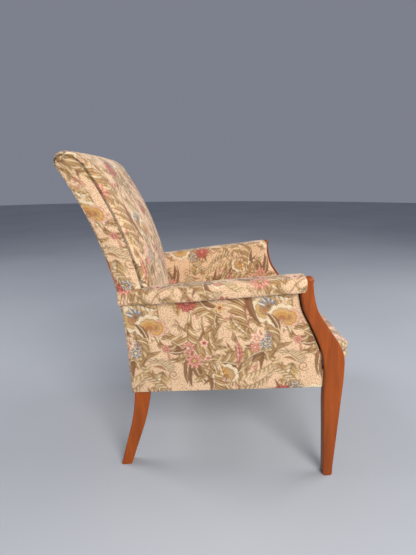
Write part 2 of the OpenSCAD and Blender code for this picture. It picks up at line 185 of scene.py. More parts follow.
def face_outwards(obj, inside):
    """Turns every face so that the piece's faces look away from the point inside."""
    data = obj.data
    n = len(data.polygons)
    centre, normal = np.empty(n * 3), np.empty(n * 3)
    data.polygons.foreach_get("center", centre)
    data.polygons.foreach_get("normal", normal)
    if ((centre.reshape(-1, 3) - np.array(inside)) * normal.reshape(-1, 3)).sum() < 0:
        data.flip_normals()
    return obj


# ---- the tapestry's repeat, drawn by formulas
UNIT = 0.0109          # one drawing unit of the pattern, in metres
REPEAT_U, REPEAT_V = 33.0, 38.0
FINE = 20              # samples of the drawing per unit

TONES = {
    "ground": (237, 203, 168), "cream": (250, 232, 198), "olive": (160, 120, 82), "dark": (106, 74, 54),
    "straw": (214, 180, 126), "ochre": (222, 168, 92), "pink": (214, 142, 124), "rose": (172, 74, 66),
    "wine": (128, 56, 50), "umber": (138, 100, 70), "rust": (176, 124, 84), "blue": (134, 142, 156),
    "sand": (192, 156, 112), "blush": (238, 190, 166),
}
PINK, BLUSH, BLUE = ("pink", "blush", "wine"), ("blush", "cream", "rose"), ("blue", "cream", "dark")


def tone(name):
    """A named colour, from display values to linear light."""
    c = np.array(TONES[name]) / 255.0
    return np.where(c <= 0.04045, c / 12.92, ((c + 0.055) / 1.055) ** 2.4)


class Drawing:
    """The pattern's repeat: colours, and how much of the bare ground shows. It wraps round at its edges."""

    def __init__(self):
        size = (int(REPEAT_V * FINE), int(REPEAT_U * FINE))
        self.colour = np.ones(size + (3,)) * tone("ground")
        self.ground = np.ones(size)

    def window(self, u, v, reach):
        n = int(reach * FINE)
        k = np.arange(-n, n + 1)
        rows = (int(round(v * FINE)) + k) % self.ground.shape[0]
        cols = (int(round(u * FINE)) + k) % self.ground.shape[1]
        x, y = np.meshgrid(k / FINE, k / FINE)
        return np.ix_(rows, cols), x, y

    def lay(self, at, mask, name):
        """Lays a named colour where the mask is above 0."""
        mask = np.clip(mask, 0, 1)
        self.colour[at] += (tone(name) - self.colour[at]) * mask[..., None]
        self.ground[at] *= 1 - mask

    def at(self, uv):
        """Colour and ground at fabric coordinates in metres, blended between samples."""
        p = uv / UNIT * FINE
        col, row = p[:, 0], p[:, 1]
        c0, r0 = np.floor(col).astype(int), np.floor(row).astype(int)
        fc, fr = (col - c0)[:, None], (row - r0)[:, None]
        h, w = self.ground.shape
        both = np.dstack([self.colour, self.ground])
        pick = lambda r, c: both[r % h, c % w]
        return ((pick(r0, c0) * (1 - fc) + pick(r0, c0 + 1) * fc) * (1 - fr)
                + (pick(r0 + 1, c0) * (1 - fc) + pick(r0 + 1, c0 + 1) * fc) * fr)

    def soften(self, passes):
        for _ in range(passes):
            for axis in (0, 1):
                for name in ("colour", "ground"):
                    a = getattr(self, name)
                    setattr(self, name, (np.roll(a, 1, axis) + 2 * a + np.roll(a, -1, axis)) / 4)


def edge(d, soft=0.05):
    """1 where d is well above 0, 0 well below."""
    return np.clip(d / soft + 0.5, 0, 1)


def spine(x, y, heading, bend, length):
    """Along and across a curved line that starts at the middle, heads that way and bends by that much."""
    a = math.radians(heading)
    px, py = x * math.cos(a) + y * math.sin(a), -x * math.sin(a) + y * math.cos(a)
    turn = math.radians(bend)
    if abs(turn) < 0.02:
        return px, py
    r = length / turn
    angle = np.arctan2(px * np.sign(r), (r - py) * np.sign(r))
    return angle * abs(r), r - np.sign(r) * np.hypot(px, r - py)


def blade(d, u, v, heading, length, width, bend=0, fill="olive", light="straw", dark="dark",
          lean=0.15, full=0.68):
    """One lobe: streaked along its length, light along one side and dark at its rim."""
    at, x, y = d.window(u, v, length + width * 0.5)
    t, across = spine(x, y, heading, bend, length)
    s = np.clip(t / length, 0, 1)
    limit = width * np.sin(math.pi * s ** full) ** 0.85 * 0.5
    inside = edge(limit - np.abs(across), 0.06) * (t > 0) * (t < length)
    d.lay(at, inside, fill)
    side = across / (width * 0.5)
    d.lay(at, inside * edge(0.24 - np.abs(side - lean), 0.25) * edge(s - 0.12, 0.2), light)
    d.lay(at, inside * edge(np.sin(across * 17.0) - 0.45, 0.5) * 0.35, dark)
    d.lay(at, inside * edge(0.08 - (limit - np.abs(across)), 0.08) * 0.75, dark)
    d.lay(at, inside * edge(0.16 - s, 0.2) * 0.4, dark)


def leaf(d, u, v, heading, length, width, bend=0, lobes=5, fill="olive", light="straw", dark="dark",
         rib="cream"):
    """An acanthus leaf: pairs of slim lobes that sweep forward from a curved rib, and one at the tip."""
    lobes = int(round(lobes * 1.9))
    turn, here, step = math.radians(bend) / lobes, np.array([u, v], float), length / (lobes + 1.2)
    a = math.radians(heading)
    under = {"olive": "umber", "straw": "olive", "sand": "rust"}.get(fill, dark)
    for way in (-1, 1):
        blade(d, u, v, heading + way * 9, length * 0.85, width * 0.65, bend + way * 14, under, fill, dark, 0.35)
    for k in range(lobes):
        part = (k + 0.5) / lobes
        size = width * 1.55 * (math.sin(math.pi * (0.16 + 0.68 * part)) ** 0.8) + 0.5
        for way in (-1, 1):
            pale = (k + (way > 0)) % 3 == 1
            blade(d, *here, math.degrees(a) + way * (46 - 22 * part), size * (1.1 + 0.25 * (k % 2)),
                  0.36 + size * 0.20, -way * 52, "straw" if pale and fill == "olive" else fill,
                  "cream" if pale else light, dark, way * 0.25)
        here += step * np.array([math.cos(a), math.sin(a)])
        a += turn
    blade(d, here[0] - step * math.cos(a), here[1] - step * math.sin(a), math.degrees(a), step * 3.0,
          width * 0.5, bend * 0.3, fill, light, dark)
    stem(d, u, v, heading, length * 0.86, bend * 0.86, 0.09, rib)


def petal_leaf(d, u, v, heading, length, width, bend=0, fill="straw", light="cream", dark="dark"):
    """A broad smooth leaf with veins."""
    blade(d, u, v, heading, length, width * 1.6, bend, fill, light, dark, 0.3)
    width = width * 0.8
    at, x, y = d.window(u, v, length + width)
    t, across = spine(x, y, heading, bend, length)
    s = np.clip(t / length, 0, 1)
    limit = width * np.sin(math.pi * s ** 0.68) ** 0.85
    inside = edge(limit - 0.25 - np.abs(across), 0.1) * (t > 0) * (t < length)
    vein = edge(np.sin((t - 0.8 * np.abs(across)) * 5.2) - 0.55, 0.3)
    d.lay(at, inside * vein * 0.6, dark)
    d.lay(at, inside * edge(0.08 - np.abs(across)) * 0.9, dark)


def stem(d, u, v, heading, length, bend=0, width=0.16, colour="olive"):
    at, x, y = d.window(u, v, length + 1)
    t, across = spine(x, y, heading, bend, length)
    d.lay(at, edge(width * (1 - 0.4 * t / length) - np.abs(across)) * (t > 0) * (t < length), colour)


def curl(d, u, v, size, turn=0, way=1, colour="olive"):
    """A spiral tendril."""
    at, x, y = d.window(u, v, size + 0.5)
    r = np.hypot(x, y) + 1e-6
    angle = (way * np.arctan2(y, x) + math.radians(turn)) / (2 * math.pi)
    coil = (r / size * 1.6 - angle) % 1.0
    d.lay(at, edge(0.15 - np.abs(coil - 0.5)) * (r < size) * (r > 0.18), colour)


def flower(d, u, v, size, petals, turn=0, fill="pink", light="blush", dark="wine", heart="straw"):
    """Round petals about a beaded heart."""
    for ring, reach in ((0, 1.0), (1, 0.68)):
        for k in range(petals):
            a = turn + 360 * (k + 0.5 * ring) / petals
            wide = size * reach * 4.2 / petals
            blade(d, u, v, a, size * reach, wide, 12, fill, light, dark, 0.0, 1.35)
    at, x, y = d.window(u, v, size)
    r = np.hypot(x, y)
    d.lay(at, edge(0.3 * size - r), heart)
    d.lay(at, edge(0.3 * size - r) * edge(np.sin(x * 16) * np.sin(y * 16) - 0.1, 0.2), dark)
    d.lay(at, edge(0.07 - np.abs(r - 0.3 * size)), dark)


def blossom(d, u, v, size, heading, spread=110, scallops=7, fill="ochre", band="straw", rim="dark",
            fold="cream"):
    """A ruffled blossom seen from the side: overlapping fans of scallops, streaked outwards."""
    for reach, body, tip in ((1.0, band, fold), (0.72, fill, band), (0.42, "rust", fill)):
        at, x, y = d.window(u, v, size * 1.2)
        r = np.hypot(x, y)
        a = (np.arctan2(y, x) - math.radians(heading) + math.pi) % (2 * math.pi) - math.pi
        part = np.clip(a / math.radians(spread), -1, 1)
        wave = np.abs(np.sin(a / math.radians(spread) * math.pi * scallops / 2 + reach * 3))
        limit = size * reach * (0.84 + 0.16 * wave ** 0.6) * (1 - 0.35 * part ** 4)
        inside = edge(limit - r) * edge(math.radians(spread) - np.abs(a), 0.1)
        d.lay(at, inside, body)
        d.lay(at, inside * edge(r - 0.7 * limit, 0.3), tip)
        streak = edge(np.sin(a * scallops * 5.3 + np.sin(r * 2.1)) - 0.25, 0.6) * edge(0.93 * limit - r, 0.3)
        d.lay(at, inside * streak * 0.5, "umber" if reach > 0.9 else "rust")
        d.lay(at, inside * edge(0.11 - (limit - r), 0.1) * 0.85, rim)


def spray(d, u, v, heading, count, fan, length, width, **looks):
    """Leaves fanned round a heading."""
    for k in range(count):
        part = (k / (count - 1) - 0.5) if count > 1 else 0.0
        leaf(d, u, v, heading + fan * part, length * (1 - 0.35 * abs(part)), width, 70 * part, **looks)


def wheat(d, u, v, heading, length, bend=0, pairs=6, fill="straw"):
    a, here = math.radians(heading), np.array([u, v], float)
    turn, step = math.radians(bend) / pairs, length / pairs
    for _ in range(pairs):
        for side in (-1, 1):
            blade(d, *here, math.degrees(a) + side * 34, step * 2.1, 0.95, -side * 30, fill, "cream")
        here += step * np.array([math.cos(a), math.sin(a)])
        a += turn
    blade(d, *here, math.degrees(a), step * 2.0, 1.0, 0, fill, "cream")


SPRIGS = (("sand", "cream"), ("olive", "straw"), ("straw", "cream"), ("pink", "blush"))


def underleaves(d, seed):
    """Small scattered sprigs between the large forms."""
    rng = np.random.default_rng(seed)
    for _ in range(86):
        u, v, heading = rng.uniform(0, REPEAT_U), rng.uniform(0, REPEAT_V), rng.uniform(0, 360)
        fill, light = SPRIGS[rng.integers(4)]
        for way in (-38, 0, 38):
            blade(d, u, v, heading + way, rng.uniform(1.5, 2.6), rng.uniform(0.55, 0.85), way, fill, light)
        stem(d, u, v, heading + 180, 1.6, rng.uniform(-60, 60), 0.12, "sand")


def draw_pattern():
    d = Drawing()
    underleaves(d, 5)
    # stems and tendrils under the flowers
    for u, v, heading, length, bend in ((9, -10, 160, 11, -60), (9, -9, 20, 9, 50), (20, -10, 200, 8, 60),
                                        (22, -9, 30, 8, -70), (30, -9, 160, 7, 50), (2, 2, 80, 8, 40),
                                        (14, 4, 60, 9, -60), (24, 6, 100, 8, 60), (6, 12, 40, 9, 50),
                                        (18, 14, 150, 10, -60), (30, 12, 200, 9, 60)):
        stem(d, u, v, heading, length, bend, 0.2)
    for u, v, size, turn, way in ((15.5, -1.5, 1.3, 30, 1), (24.9, 0, 1.2, 200, -1), (4, -13.5, 1.4, 90, 1),
                                  (31, -2.6, 1.2, 150, -1), (17, 7.5, 1.3, 0, 1), (1.5, 9, 1.3, 240, -1),
                                  (12, 17, 1.4, 60, 1), (27, 17.5, 1.3, 300, -1)):
        curl(d, u, v, size, turn, way)
    # the big rosette of acanthus leaves, with its flowers
    for heading, length, width, bend, lobes in (
            (-112, 5.2, 1.5, 20, 4), (-150, 5.6, 1.5, -20, 4), (-62, 5.6, 1.6, 26, 4), (-24, 6.2, 1.6, 30, 4),
            (152, 7.4, 1.7, -34, 5), (8, 8.2, 1.8, 30, 5), (128, 9.2, 2.0, 30, 6), (32, 10.0, 2.2, 26, 6),
            (98, 10.4, 2.2, -22, 6), (64, 10.8, 2.4, -38, 7)):
        leaf(d, 9.1, -8.3, heading, length, width, bend, lobes)
    flower(d, 8.6, -6.4, 1.9, 7, 20, *PINK, "cream")
    flower(d, 9.8, -10.0, 2.3, 9, 0, *PINK, "straw")
    flower(d, 12.8, -5.4, 1.2, 5, 10, *BLUSH, "rose")
    flower(d, 13.4, -9.6, 1.1, 5, 40, *BLUSH, "pink")
    # two ruffled blossoms, one with blue petals
    leaf(d, -1.8, -1.0, -118, 5.4, 1.5, 30, 4)
    leaf(d, -3.2, 2.2, 60, 6.4, 1.5, -40, 4)
    blossom(d, -4.0, 2.2, 4.0, 165, 125, 8, fill="sand", band="straw", fold="cream")
    blossom(d, -0.6, -0.8, 4.2, 70, 150, 9)
    blossom(d, 0.9, -0.4, 3.0, -30, 110, 6, fill="straw", band="ochre", fold="blush")
    for turn in (50, 85, 120, 155):
        blade(d, -3.5, 2.8, turn, 3.2, 1.4, 0, *BLUE)
    flower(d, -3.6, 2.8, 1.1, 6, 0, "olive", "straw", "dark", "blue")
    # paisley leaf with a pink eye
    petal_leaf(d, 1.4, -12.4, 60, 9.2, 2.1, -60, "straw", "cream")
    leaf(d, 4.0, -7.2, 160, 5.2, 1.5, -60, 4)
    leaf(d, 2.6, -12.2, 120, 4.8, 1.3, 50, 4, "sand", "cream")
    flower(d, 3.0, -6.3, 1.2, 6, 0, *PINK, "blush")
    # drop, chrysanthemum and dark leaf
    leaf(d, 12.0, 7.0, -62, 8.4, 2.2, 30, 6)
    petal_leaf(d, 7.2, 6.2, -92, 4.2, 1.1, 0, "straw", "ochre")
    flower(d, 9.6, 5.6, 2.9, 12, 0, "rose", "pink", "wine", "pink")
    leaf(d, 7.6, 7.4, 150, 5.6, 1.5, -30, 4, "sand", "cream")
    flower(d, 17.6, 3.4, 1.4, 6, 0, "ochre", "cream", "olive", "rose")
    leaf(d, 16.6, 1.8, -120, 4.0, 1.1, 50, 3)
    # tulip, drooping plume and posy
    spray(d, 20.4, -12.0, 92, 5, 120, 8.0, 1.7, lobes=5)
    petal_leaf(d, 21.0, -11.6, 78, 6.4, 1.0, 24, *PINK)
    petal_leaf(d, 20.4, -11.0, 106, 6.4, 0.9, -30, "straw", "cream", "wine")
    leaf(d, 24.8, 7.4, -108, 11.4, 2.7, 34, 8)
    stem(d, 24.8, 7.4, -108, 9.6, 30, 0.14, "rose")
    petal_leaf(d, 20.0, 0.8, -76, 6.6, 1.1, 50, "straw", "cream")
    spray(d, 27.4, -8.6, 80, 5, 220, 6.6, 1.6, lobes=5)
    flower(d, 26.0, -5.2, 1.9, 6, 10, *BLUSH, "cream")
    flower(d, 28.0, -6.8, 1.6, 6, 30, *BLUE, "cream")
    flower(d, 29.0, -4.6, 1.2, 5, 0, *BLUE, "pink")
    flower(d, 25.4, -7.6, 1.3, 5, 0, "pink", "blush", "rose", "cream")
    # peony bud and wheat along the low edge
    leaf(d, 15.8, -15.0, 168, 6.0, 1.5, 40, 4)
    leaf(d, 18.6, -14.8, 14, 6.0, 1.5, 40, 4)
    blossom(d, 17.2, -15.0, 3.8, 84, 125, 7, fill="straw", band="sand", fold="cream")
    petal_leaf(d, 17.0, -15.2, 100, 4.0, 1.2, 0, "ochre", "cream")
    wheat(d, 22.6, -14.6, 10, 8.0, 30, 7)
    wheat(d, 30.6, -13.4, -30, 7.0, -30, 6, "sand")
    leaf(d, 31.6, -3.6, -84, 6.8, 1.6, -50, 5)
    # upper rows
    for heading, length, width, bend in ((170, 7.6, 1.8, -40), (-10, 7.6, 1.8, 50), (40, 9.8, 2.2, 60),
                                         (126, 8.8, 2.0, 40), (84, 10.2, 2.4, 50)):
        leaf(d, 18.6, 11.2, heading, length, width, bend, 6)
    flower(d, 18.4, 11.6, 2.6, 9, 0, *PINK, "straw")
    petal_leaf(d, 28.4, 9.0, 118, 9.0, 2.1, -60, "straw", "cream")
    flower(d, 26.6, 12.8, 1.4, 6, 0, *BLUSH, "rose")
    spray(d, 4.8, 13.6, 200, 4, 130, 7.0, 1.6, lobes=5)
    blossom(d, 6.0, 15.4, 4.2, 70, 135, 8)
    blossom(d, 8.4, 13.0, 3.0, -40, 110, 6, fill="blush", band="pink", fold="cream")
    spray(d, 31.2, 16.4, -70, 5, 190, 6.4, 1.5, lobes=5)
    flower(d, 31.4, 17.4, 2.7, 11, 0, "rose", "pink", "wine", "pink")
    wheat(d, 12.6, 9.4, 150, 6.6, -40, 6)
    wheat(d, 22.0, 20.0, 10, 7.0, 40, 6, "sand")
    leaf(d, 13.2, 18.6, 60, 7.4, 1.8, 50, 5)
    flower(d, 1.6, 19.0, 1.5, 6, 0, *BLUE, "straw")
    d.soften(1)
    return d


PATTERN = draw_pattern()


def dye(obj, shift):
    """Colours a cover from the pattern at its cloth coordinates, moved by shift."""
    data = obj.data
    uv = np.empty(len(data.loops) * 2, np.float32)
    data.uv_layers["cloth"].data.foreach_get("uv", uv)
    rgba = PATTERN.at(uv.reshape(-1, 2).astype(float) + np.array(shift))
    layer = data.color_attributes.new("dye", "FLOAT_COLOR", "CORNER")
    layer.data.foreach_set("color", rgba.astype(np.float32).ravel())


# ---- materials
class Nodes:
    """Short calls for building a material's node tree."""

    def __init__(self, name):
        self.material = bpy.data.materials.new(name)
        self.material.use_nodes = True
        self.tree = self.material.node_tree
        self.shader = self.tree.nodes["Principled BSDF"]

    def feed(self, node, inputs):
        for key, value in inputs.items():
            if isinstance(value, bpy.types.NodeSocket):
                self.tree.links.new(value, node.inputs[key])
            else:
                node.inputs[key].default_value = value

    def add(self, kind, output, inputs=(), **settings):
        """Adds a node, and gives back the output of that name, or the node itself when it is None."""
        node = self.tree.nodes.new("ShaderNode" + kind)
        for key, value in settings.items():
            setattr(node, key, value)
        self.feed(node, dict(inputs))
        return node if output is None else node.outputs[output]

    def stretched(self, source, scale):
        """Coordinates, scaled; source is Object or UV."""
        return self.add("Mapping", "Vector", {"Vector": self.add("TexCoord", source), "Scale": scale})

    def noise(self, vector, scale=1.0, detail=2.0, roughness=0.5, distortion=0.0):
        return self.add("TexNoise", "Fac", {"Vector": vector, "Scale": scale, "Detail": detail,
                                            "Roughness": roughness, "Distortion": distortion})

    def remap(self, value, low=0.3, high=0.7, to_low=0.0, to_high=1.0):
        return self.add("MapRange", "Result", {"Value": value, "From Min": low, "From Max": high,
                                               "To Min": to_low, "To Max": to_high})

    def sums(self, operation, a, b):
        return self.add("Math", 0, {0: a, 1: b}, operation=operation)

    def times(self, a, b):
        return self.sums("MULTIPLY", a, b)

    def mix(self, factor, a, b, blend="MIX"):
        return self.add("Mix", 2, {0: factor, 6: a, 7: b}, data_type="RGBA", blend_type=blend)

    def between(self, noise, a, b, low=0.3, high=0.7):
        """From colour a to colour b as the noise goes from low to high."""
        return self.mix(self.remap(noise, low, high), a + (1,), b + (1,))

    def tinted(self, colour, *between):
        return self.mix(1.0, colour, self.between(*between), "MULTIPLY")

    def bump(self, height, strength, distance):
        self.set(Normal=self.add("Bump", "Normal", {"Strength": strength, "Distance": distance, "Height": height}))

    def set(self, **values):
        self.feed(self.shader, {key.replace("_", " "): value for key, value in values.items()})


def tapestry():
    """The woven cover: dyed pattern, flecked ground, fine ribs, soft fuzz, and painted shade along seams and under the
    arms.
    """
    n = Nodes("tapestry")
    dyed = n.add("VertexColor", None, layer_name="dye")
    # painted shade along seams and under the arms, multiplied into the colour below
    shade = n.add("Attribute", "Color", attribute_name="shade")
    cloth = n.stretched("UV", (1.0, 1.0, 1.0))
    flecks = n.remap(n.noise(cloth, 300.0, 1.0, 0.6), 0.54, 0.62)
    threads = n.noise(n.stretched("UV", (900.0, 380.0, 1.0)), 1.0, 1.0)
    wear = n.noise(cloth, 11.0, 3.0, 0.6)
    colour = n.mix(n.times(n.times(flecks, dyed.outputs["Alpha"]), 0.72), dyed.outputs["Color"],
                   (0.36, 0.20, 0.10, 1.0))
    colour = n.tinted(colour, threads, (0.80, 0.79, 0.77), (1.12, 1.12, 1.1))
    colour = n.tinted(colour, wear, (0.92, 0.90, 0.87), (1.05, 1.05, 1.05), 0.35)
    ribs = [n.add("TexWave", "Fac", {"Vector": cloth, "Scale": 250.0, "Distortion": 0.6}, bands_direction=way)
            for way in "XY"]
    n.bump(n.sums("ADD", n.times(n.sums("ADD", *ribs), 0.35), n.times(threads, 0.9)), 0.55, 0.0006)
    n.set(Base_Color=n.mix(1.0, colour, shade, "MULTIPLY"), Roughness=0.88, Sheen_Weight=0.22,
          Sheen_Roughness=0.45, Specular_IOR_Level=0.22)
    return n.material


def polished_wood():
    """Warm stained hardwood with upright grain under satin lacquer."""
    n = Nodes("polished_wood")
    figure = n.noise(n.stretched("Object", (34.0, 26.0, 2.4)), 1.0, 4.0, 0.55, 0.8)
    pores = n.noise(n.stretched("Object", (520.0, 520.0, 16.0)), 1.0, 2.0, 0.6)
    cloud = n.noise(n.stretched("Object", (4.0, 4.0, 3.0)), 1.0, 2.0)
    stain = n.between(figure, (0.195, 0.041, 0.005), (0.365, 0.079, 0.008))
    stain = n.mix(n.times(n.remap(pores, 0.56, 0.72), 0.55), stain, (0.10, 0.022, 0.005, 1))
    stain = n.tinted(stain, cloud, (0.86, 0.82, 0.78), (1.12, 1.10, 1.06))
    n.bump(n.sums("ADD", figure, n.times(pores, 0.6)), 0.18, 0.0004)
    n.set(Base_Color=stain, Roughness=n.remap(pores, 0.3, 0.7, 0.32, 0.44), Specular_IOR_Level=0.22,
          Coat_Weight=0.12, Coat_Roughness=0.16)
    return n.material


def frame_beech():
    """Plain planed beech, flecked along the grain."""
    n = Nodes("frame_beech")
    grain = n.noise(n.stretched("Object", (9.0, 9.0, 90.0)), 1.0, 4.0, 0.6, 0.5)
    fleck = n.noise(n.stretched("Object", (60.0, 60.0, 400.0)), 1.0, 1.0)
    colour = n.between(grain, (0.50, 0.33, 0.18), (0.70, 0.51, 0.31))
    colour = n.mix(n.times(n.remap(fleck, 0.6, 0.7), 0.4), colour, (0.38, 0.22, 0.12, 1))
    n.bump(grain, 0.2, 0.0005)
    n.set(Base_Color=colour, Roughness=0.62)
    return n.material


def steel(name, tint, roughness, streak):
    n = Nodes(name)
    marks = n.noise(n.stretched("Object", streak), 1.0, 3.0, 0.6)
    n.bump(marks, 0.15, 0.0002)
    n.set(Base_Color=n.between(marks, tuple(0.8 * c for c in tint), tint), Metallic=1.0,
          Roughness=n.remap(marks, 0.3, 0.7, roughness, roughness + 0.14))
    return n.material


def foam():
    n = Nodes("foam")
    cells = n.add("TexVoronoi", "Distance", {"Vector": n.stretched("Object", (420.0, 420.0, 420.0))})
    n.bump(n.remap(cells, 0.0, 0.6), 0.5, 0.001)
    n.set(Base_Color=n.between(cells, (0.56, 0.47, 0.24), (0.80, 0.72, 0.48), 0.0, 0.6), Roughness=0.95)
    return n.material


TAPESTRY = tapestry()
WOOD = polished_wood()
BEECH = frame_beech()
SPRING = steel("spring_wire", (0.52, 0.53, 0.55), 0.28, (300.0, 300.0, 300.0))
ZINC = steel("zinc_plate", (0.62, 0.62, 0.60), 0.36, (60.0, 500.0, 60.0))
FOAM = foam()


def give(obj, body, slot, material, *nodes):
    """Puts a finished piece in the model: its body, material and the CAD nodes it stands for. The slot, its finish, is
    not used.
    """
    obj.data.materials.clear()
    obj.data.materials.append(material)
    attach(obj, body)
    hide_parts(*nodes)
    return obj


# ---- wooden legs
LEG_FRONT_EDGE = [(-0.336, 0.0), (-0.341, 0.110), (-0.346, 0.220), (-0.350, 0.325), (-0.342, 0.384),
                  (-0.303, 0.446), (-0.270, 0.496), (-0.256, 0.542), (-0.254, 0.566)]
LEG_REAR_EDGE = [(-0.310, 0.0), (-0.303, 0.130), (-0.296, 0.240)]
POST_REAR_EDGE = [(-0.296, 0.318), (-0.285, 0.382), (-0.257, 0.447), (-0.232, 0.497), (-0.221, 0.542)]
TIP = np.array([-0.243, 0.579])
TIP_R = 0.012
SHOULDER_Z = 0.576


def front_leg_outline():
    a = np.radians(np.arange(210, -16, -15))
    tip = TIP + TIP_R * np.stack([np.cos(a), np.sin(a)], 1)
    return np.vstack([smooth(LEG_FRONT_EDGE, 20), tip, [[POST_REAR_EDGE[-1][0], SHOULDER_Z]],
                      smooth(POST_REAR_EDGE, 16)[::-1], smooth(LEG_REAR_EDGE, 24)[::-1]])


UPRIGHT_TOP = 0.872
UPRIGHT_GAP = 0.006                        # from the rear cover to the upright
FOOT_DEPTH, FOOT_GAIN = 0.031, 0.015       # the rear leg's depth at the floor, and what it gains up to the covers
SEAT_DEPTH, TOP_LOSS = 0.043, 0.007        # its depth at the seat, and what it loses up to the top
SABRE_START, SABRE_STRAIGHT, SABRE_R = 0.260, 0.120, 0.540


def sabre(z):
    """How far the rear leg's foot sweeps back."""
    drop = SABRE_START - SABRE_STRAIGHT
    arc = lambda h: SABRE_R - np.sqrt(SABRE_R ** 2 - h ** 2)
    low = arc(drop) + (SABRE_STRAIGHT - z) * drop / math.sqrt(SABRE_R ** 2 - drop ** 2)
    high = arc(np.clip(SABRE_START - z, 0, drop))
    return np.where(z > SABRE_START, 0.0, np.where(z > SABRE_STRAIGHT, high, low))


def rear_leg_outline():
    z = np.linspace(0, UPRIGHT_TOP, 180)
    rear = back_y(np.maximum(z, BACK_LOW_Z)) - UPRIGHT_GAP + sabre(z)
    depth = np.where(z < BACK_LOW_Z, FOOT_DEPTH + FOOT_GAIN * z / BACK_LOW_Z,
                     SEAT_DEPTH - TOP_LOSS * (z - BACK_LOW_Z) / (UPRIGHT_TOP - BACK_LOW_Z))
    return np.vstack([np.stack([rear - depth, z], 1), np.stack([rear, z], 1)[::-1]])


def refine(points, step):
    """The closed outline with its own corners, and more points along its long stretches."""
    out = []
    for a, b in zip(points, np.roll(points, -1, axis=0)):
        n = max(1, int(math.ceil(np.linalg.norm(b - a) / step)))
        out += [a + (b - a) * k / n for k in range(n)]
    return np.array(out)


FOOT_ROUND = 0.005
CRISP_R = 0.0012       # the long edges' rounding at the floor
FRONT_GAIN, REAR_GAIN = 0.0038, 0.0030
DOME_R = 0.0113


def eased_foot(points):
    """The outline with the two corners of its foot drawn in."""
    foot = points[points[:, 1] < 1e-6, 0]
    middle, half = (foot.min() + foot.max()) / 2, (foot.max() - foot.min()) / 2
    rise = np.clip(FOOT_ROUND - points[:, 1], 0, FOOT_ROUND)
    inset = FOOT_ROUND - np.sqrt(FOOT_ROUND ** 2 - rise ** 2)
    return np.stack([middle + (points[:, 0] - middle) * (1 - inset / half), points[:, 1]], 1)


def rounded_board(name, outline, x0, x1, radius_at, arcs=7):
    """A board cut to an outline of (y, z), with its long edges rounded over by radius_at(points)."""
    p = eased_foot(refine(np.asarray(outline), 0.004))
    ahead = np.roll(p, -1, 0) - p
    ahead /= np.linalg.norm(ahead, axis=1)[:, None] + 1e-12
    area = np.cross(p, np.roll(p, -1, 0)).sum()
    normal = np.stack([-ahead[:, 1], ahead[:, 0]], 1) * np.sign(area)
    normal = normal + np.roll(normal, 1, 0)
    normal /= np.linalg.norm(normal, axis=1)[:, None]
    r = radius_at(p)
    a = np.linspace(0, math.pi / 2, arcs)
    profile = [(r + 0.0006, 0 * r)] + [(r * (1 - math.sin(t)), r * (1 - math.cos(t))) for t in a]
    rings = [np.column_stack([x0 + rise, p + normal * inset[:, None]]) for inset, rise in profile]
    rings += [np.column_stack([x1 - rise, p + normal * inset[:, None]]) for inset, rise in profile[::-1]]
    n = len(p)
    faces = [(k * n + i, k * n + (i + 1) % n, (k + 1) * n + (i + 1) % n, (k + 1) * n + i)
             for k in range(len(rings) - 1) for i in range(n)]
    faces.append(tuple(range(n))[::-1])
    faces.append(tuple(range((len(rings) - 1) * n, len(rings) * n)))
    obj = new_object(name, np.vstack(rings), faces)
    face_outwards(obj, np.vstack(rings).mean(0))
    obj.data.set_sharp_from_angle(angle=math.radians(52))
    return obj


def front_radius(p):
    """Crisp at the foot, softly rounded along the leg, and a dome at the tip."""
    at_foot = CRISP_R + FRONT_GAIN * ease(p[:, 1] / 0.03)
    near = np.linalg.norm(p - TIP, axis=1)
    return at_foot + (DOME_R - at_foot) * ease((0.027 - near) / 0.013)


def rear_radius(p):
    return CRISP_R + REAR_GAIN * ease(p[:, 1] / 0.03)


for side, word in ((-1, "right"), (1, "left")):
    for kind, outline, span, radius in (("front", front_leg_outline(), (POST_X0, POST_X1), front_radius),
                                        ("rear", rear_leg_outline(), (UPRIGHT_X0, UPRIGHT_X1), rear_radius)):
        low, high = sorted((side * span[0], side * span[1]))
        leg = rounded_board(f"{kind}_leg_{word}_wood", outline, low, high, radius)
        give(leg, "chair", "show_wood", WOOD, f"{kind}_leg_{word}")


# ---- covers
CLOTH_TILT = math.radians(6.0)     # the pattern's lines rise towards the front, as the arms do
CLOTH_S, CLOTH_Z = 0.471, 0.4436   # where the pattern's first blossom sits on a side


def side_cloth(s, z, side):
    """Cloth coordinates on a chair's side; the pattern reads the same way round on both."""
    ds, dz = s - CLOTH_S, z - CLOTH_Z
    u = -ds * math.cos(CLOTH_TILT) + dz * math.sin(CLOTH_TILT)
    v = dz * math.cos(CLOTH_TILT) + ds * math.sin(CLOTH_TILT)
    if side > 0:
        u = -u + 0.13
    return u, v


# cloth coordinates, with painted shade as a third value; 1 is unshaded
def stack_uv(u, v, shade=1.0):
    return grid(u, v, shade)


def runs(points):
    """Arc length along the last but one axis of (..., n, 3)."""
    step = np.linalg.norm(np.diff(points, axis=-2), axis=-1)
    return np.concatenate([np.zeros(step.shape[:-1] + (1,)), np.cumsum(step, -1)], -1)


def cover(name, patches, shift, inside, *nodes):
    """A dyed piece of tapestry from grids, on the chair; inside is a point behind it."""
    obj = face_outwards(patchwork(name, patches), inside)
    dye(obj, shift)
    return give(obj, "chair", "fabric", TAPESTRY, *nodes)


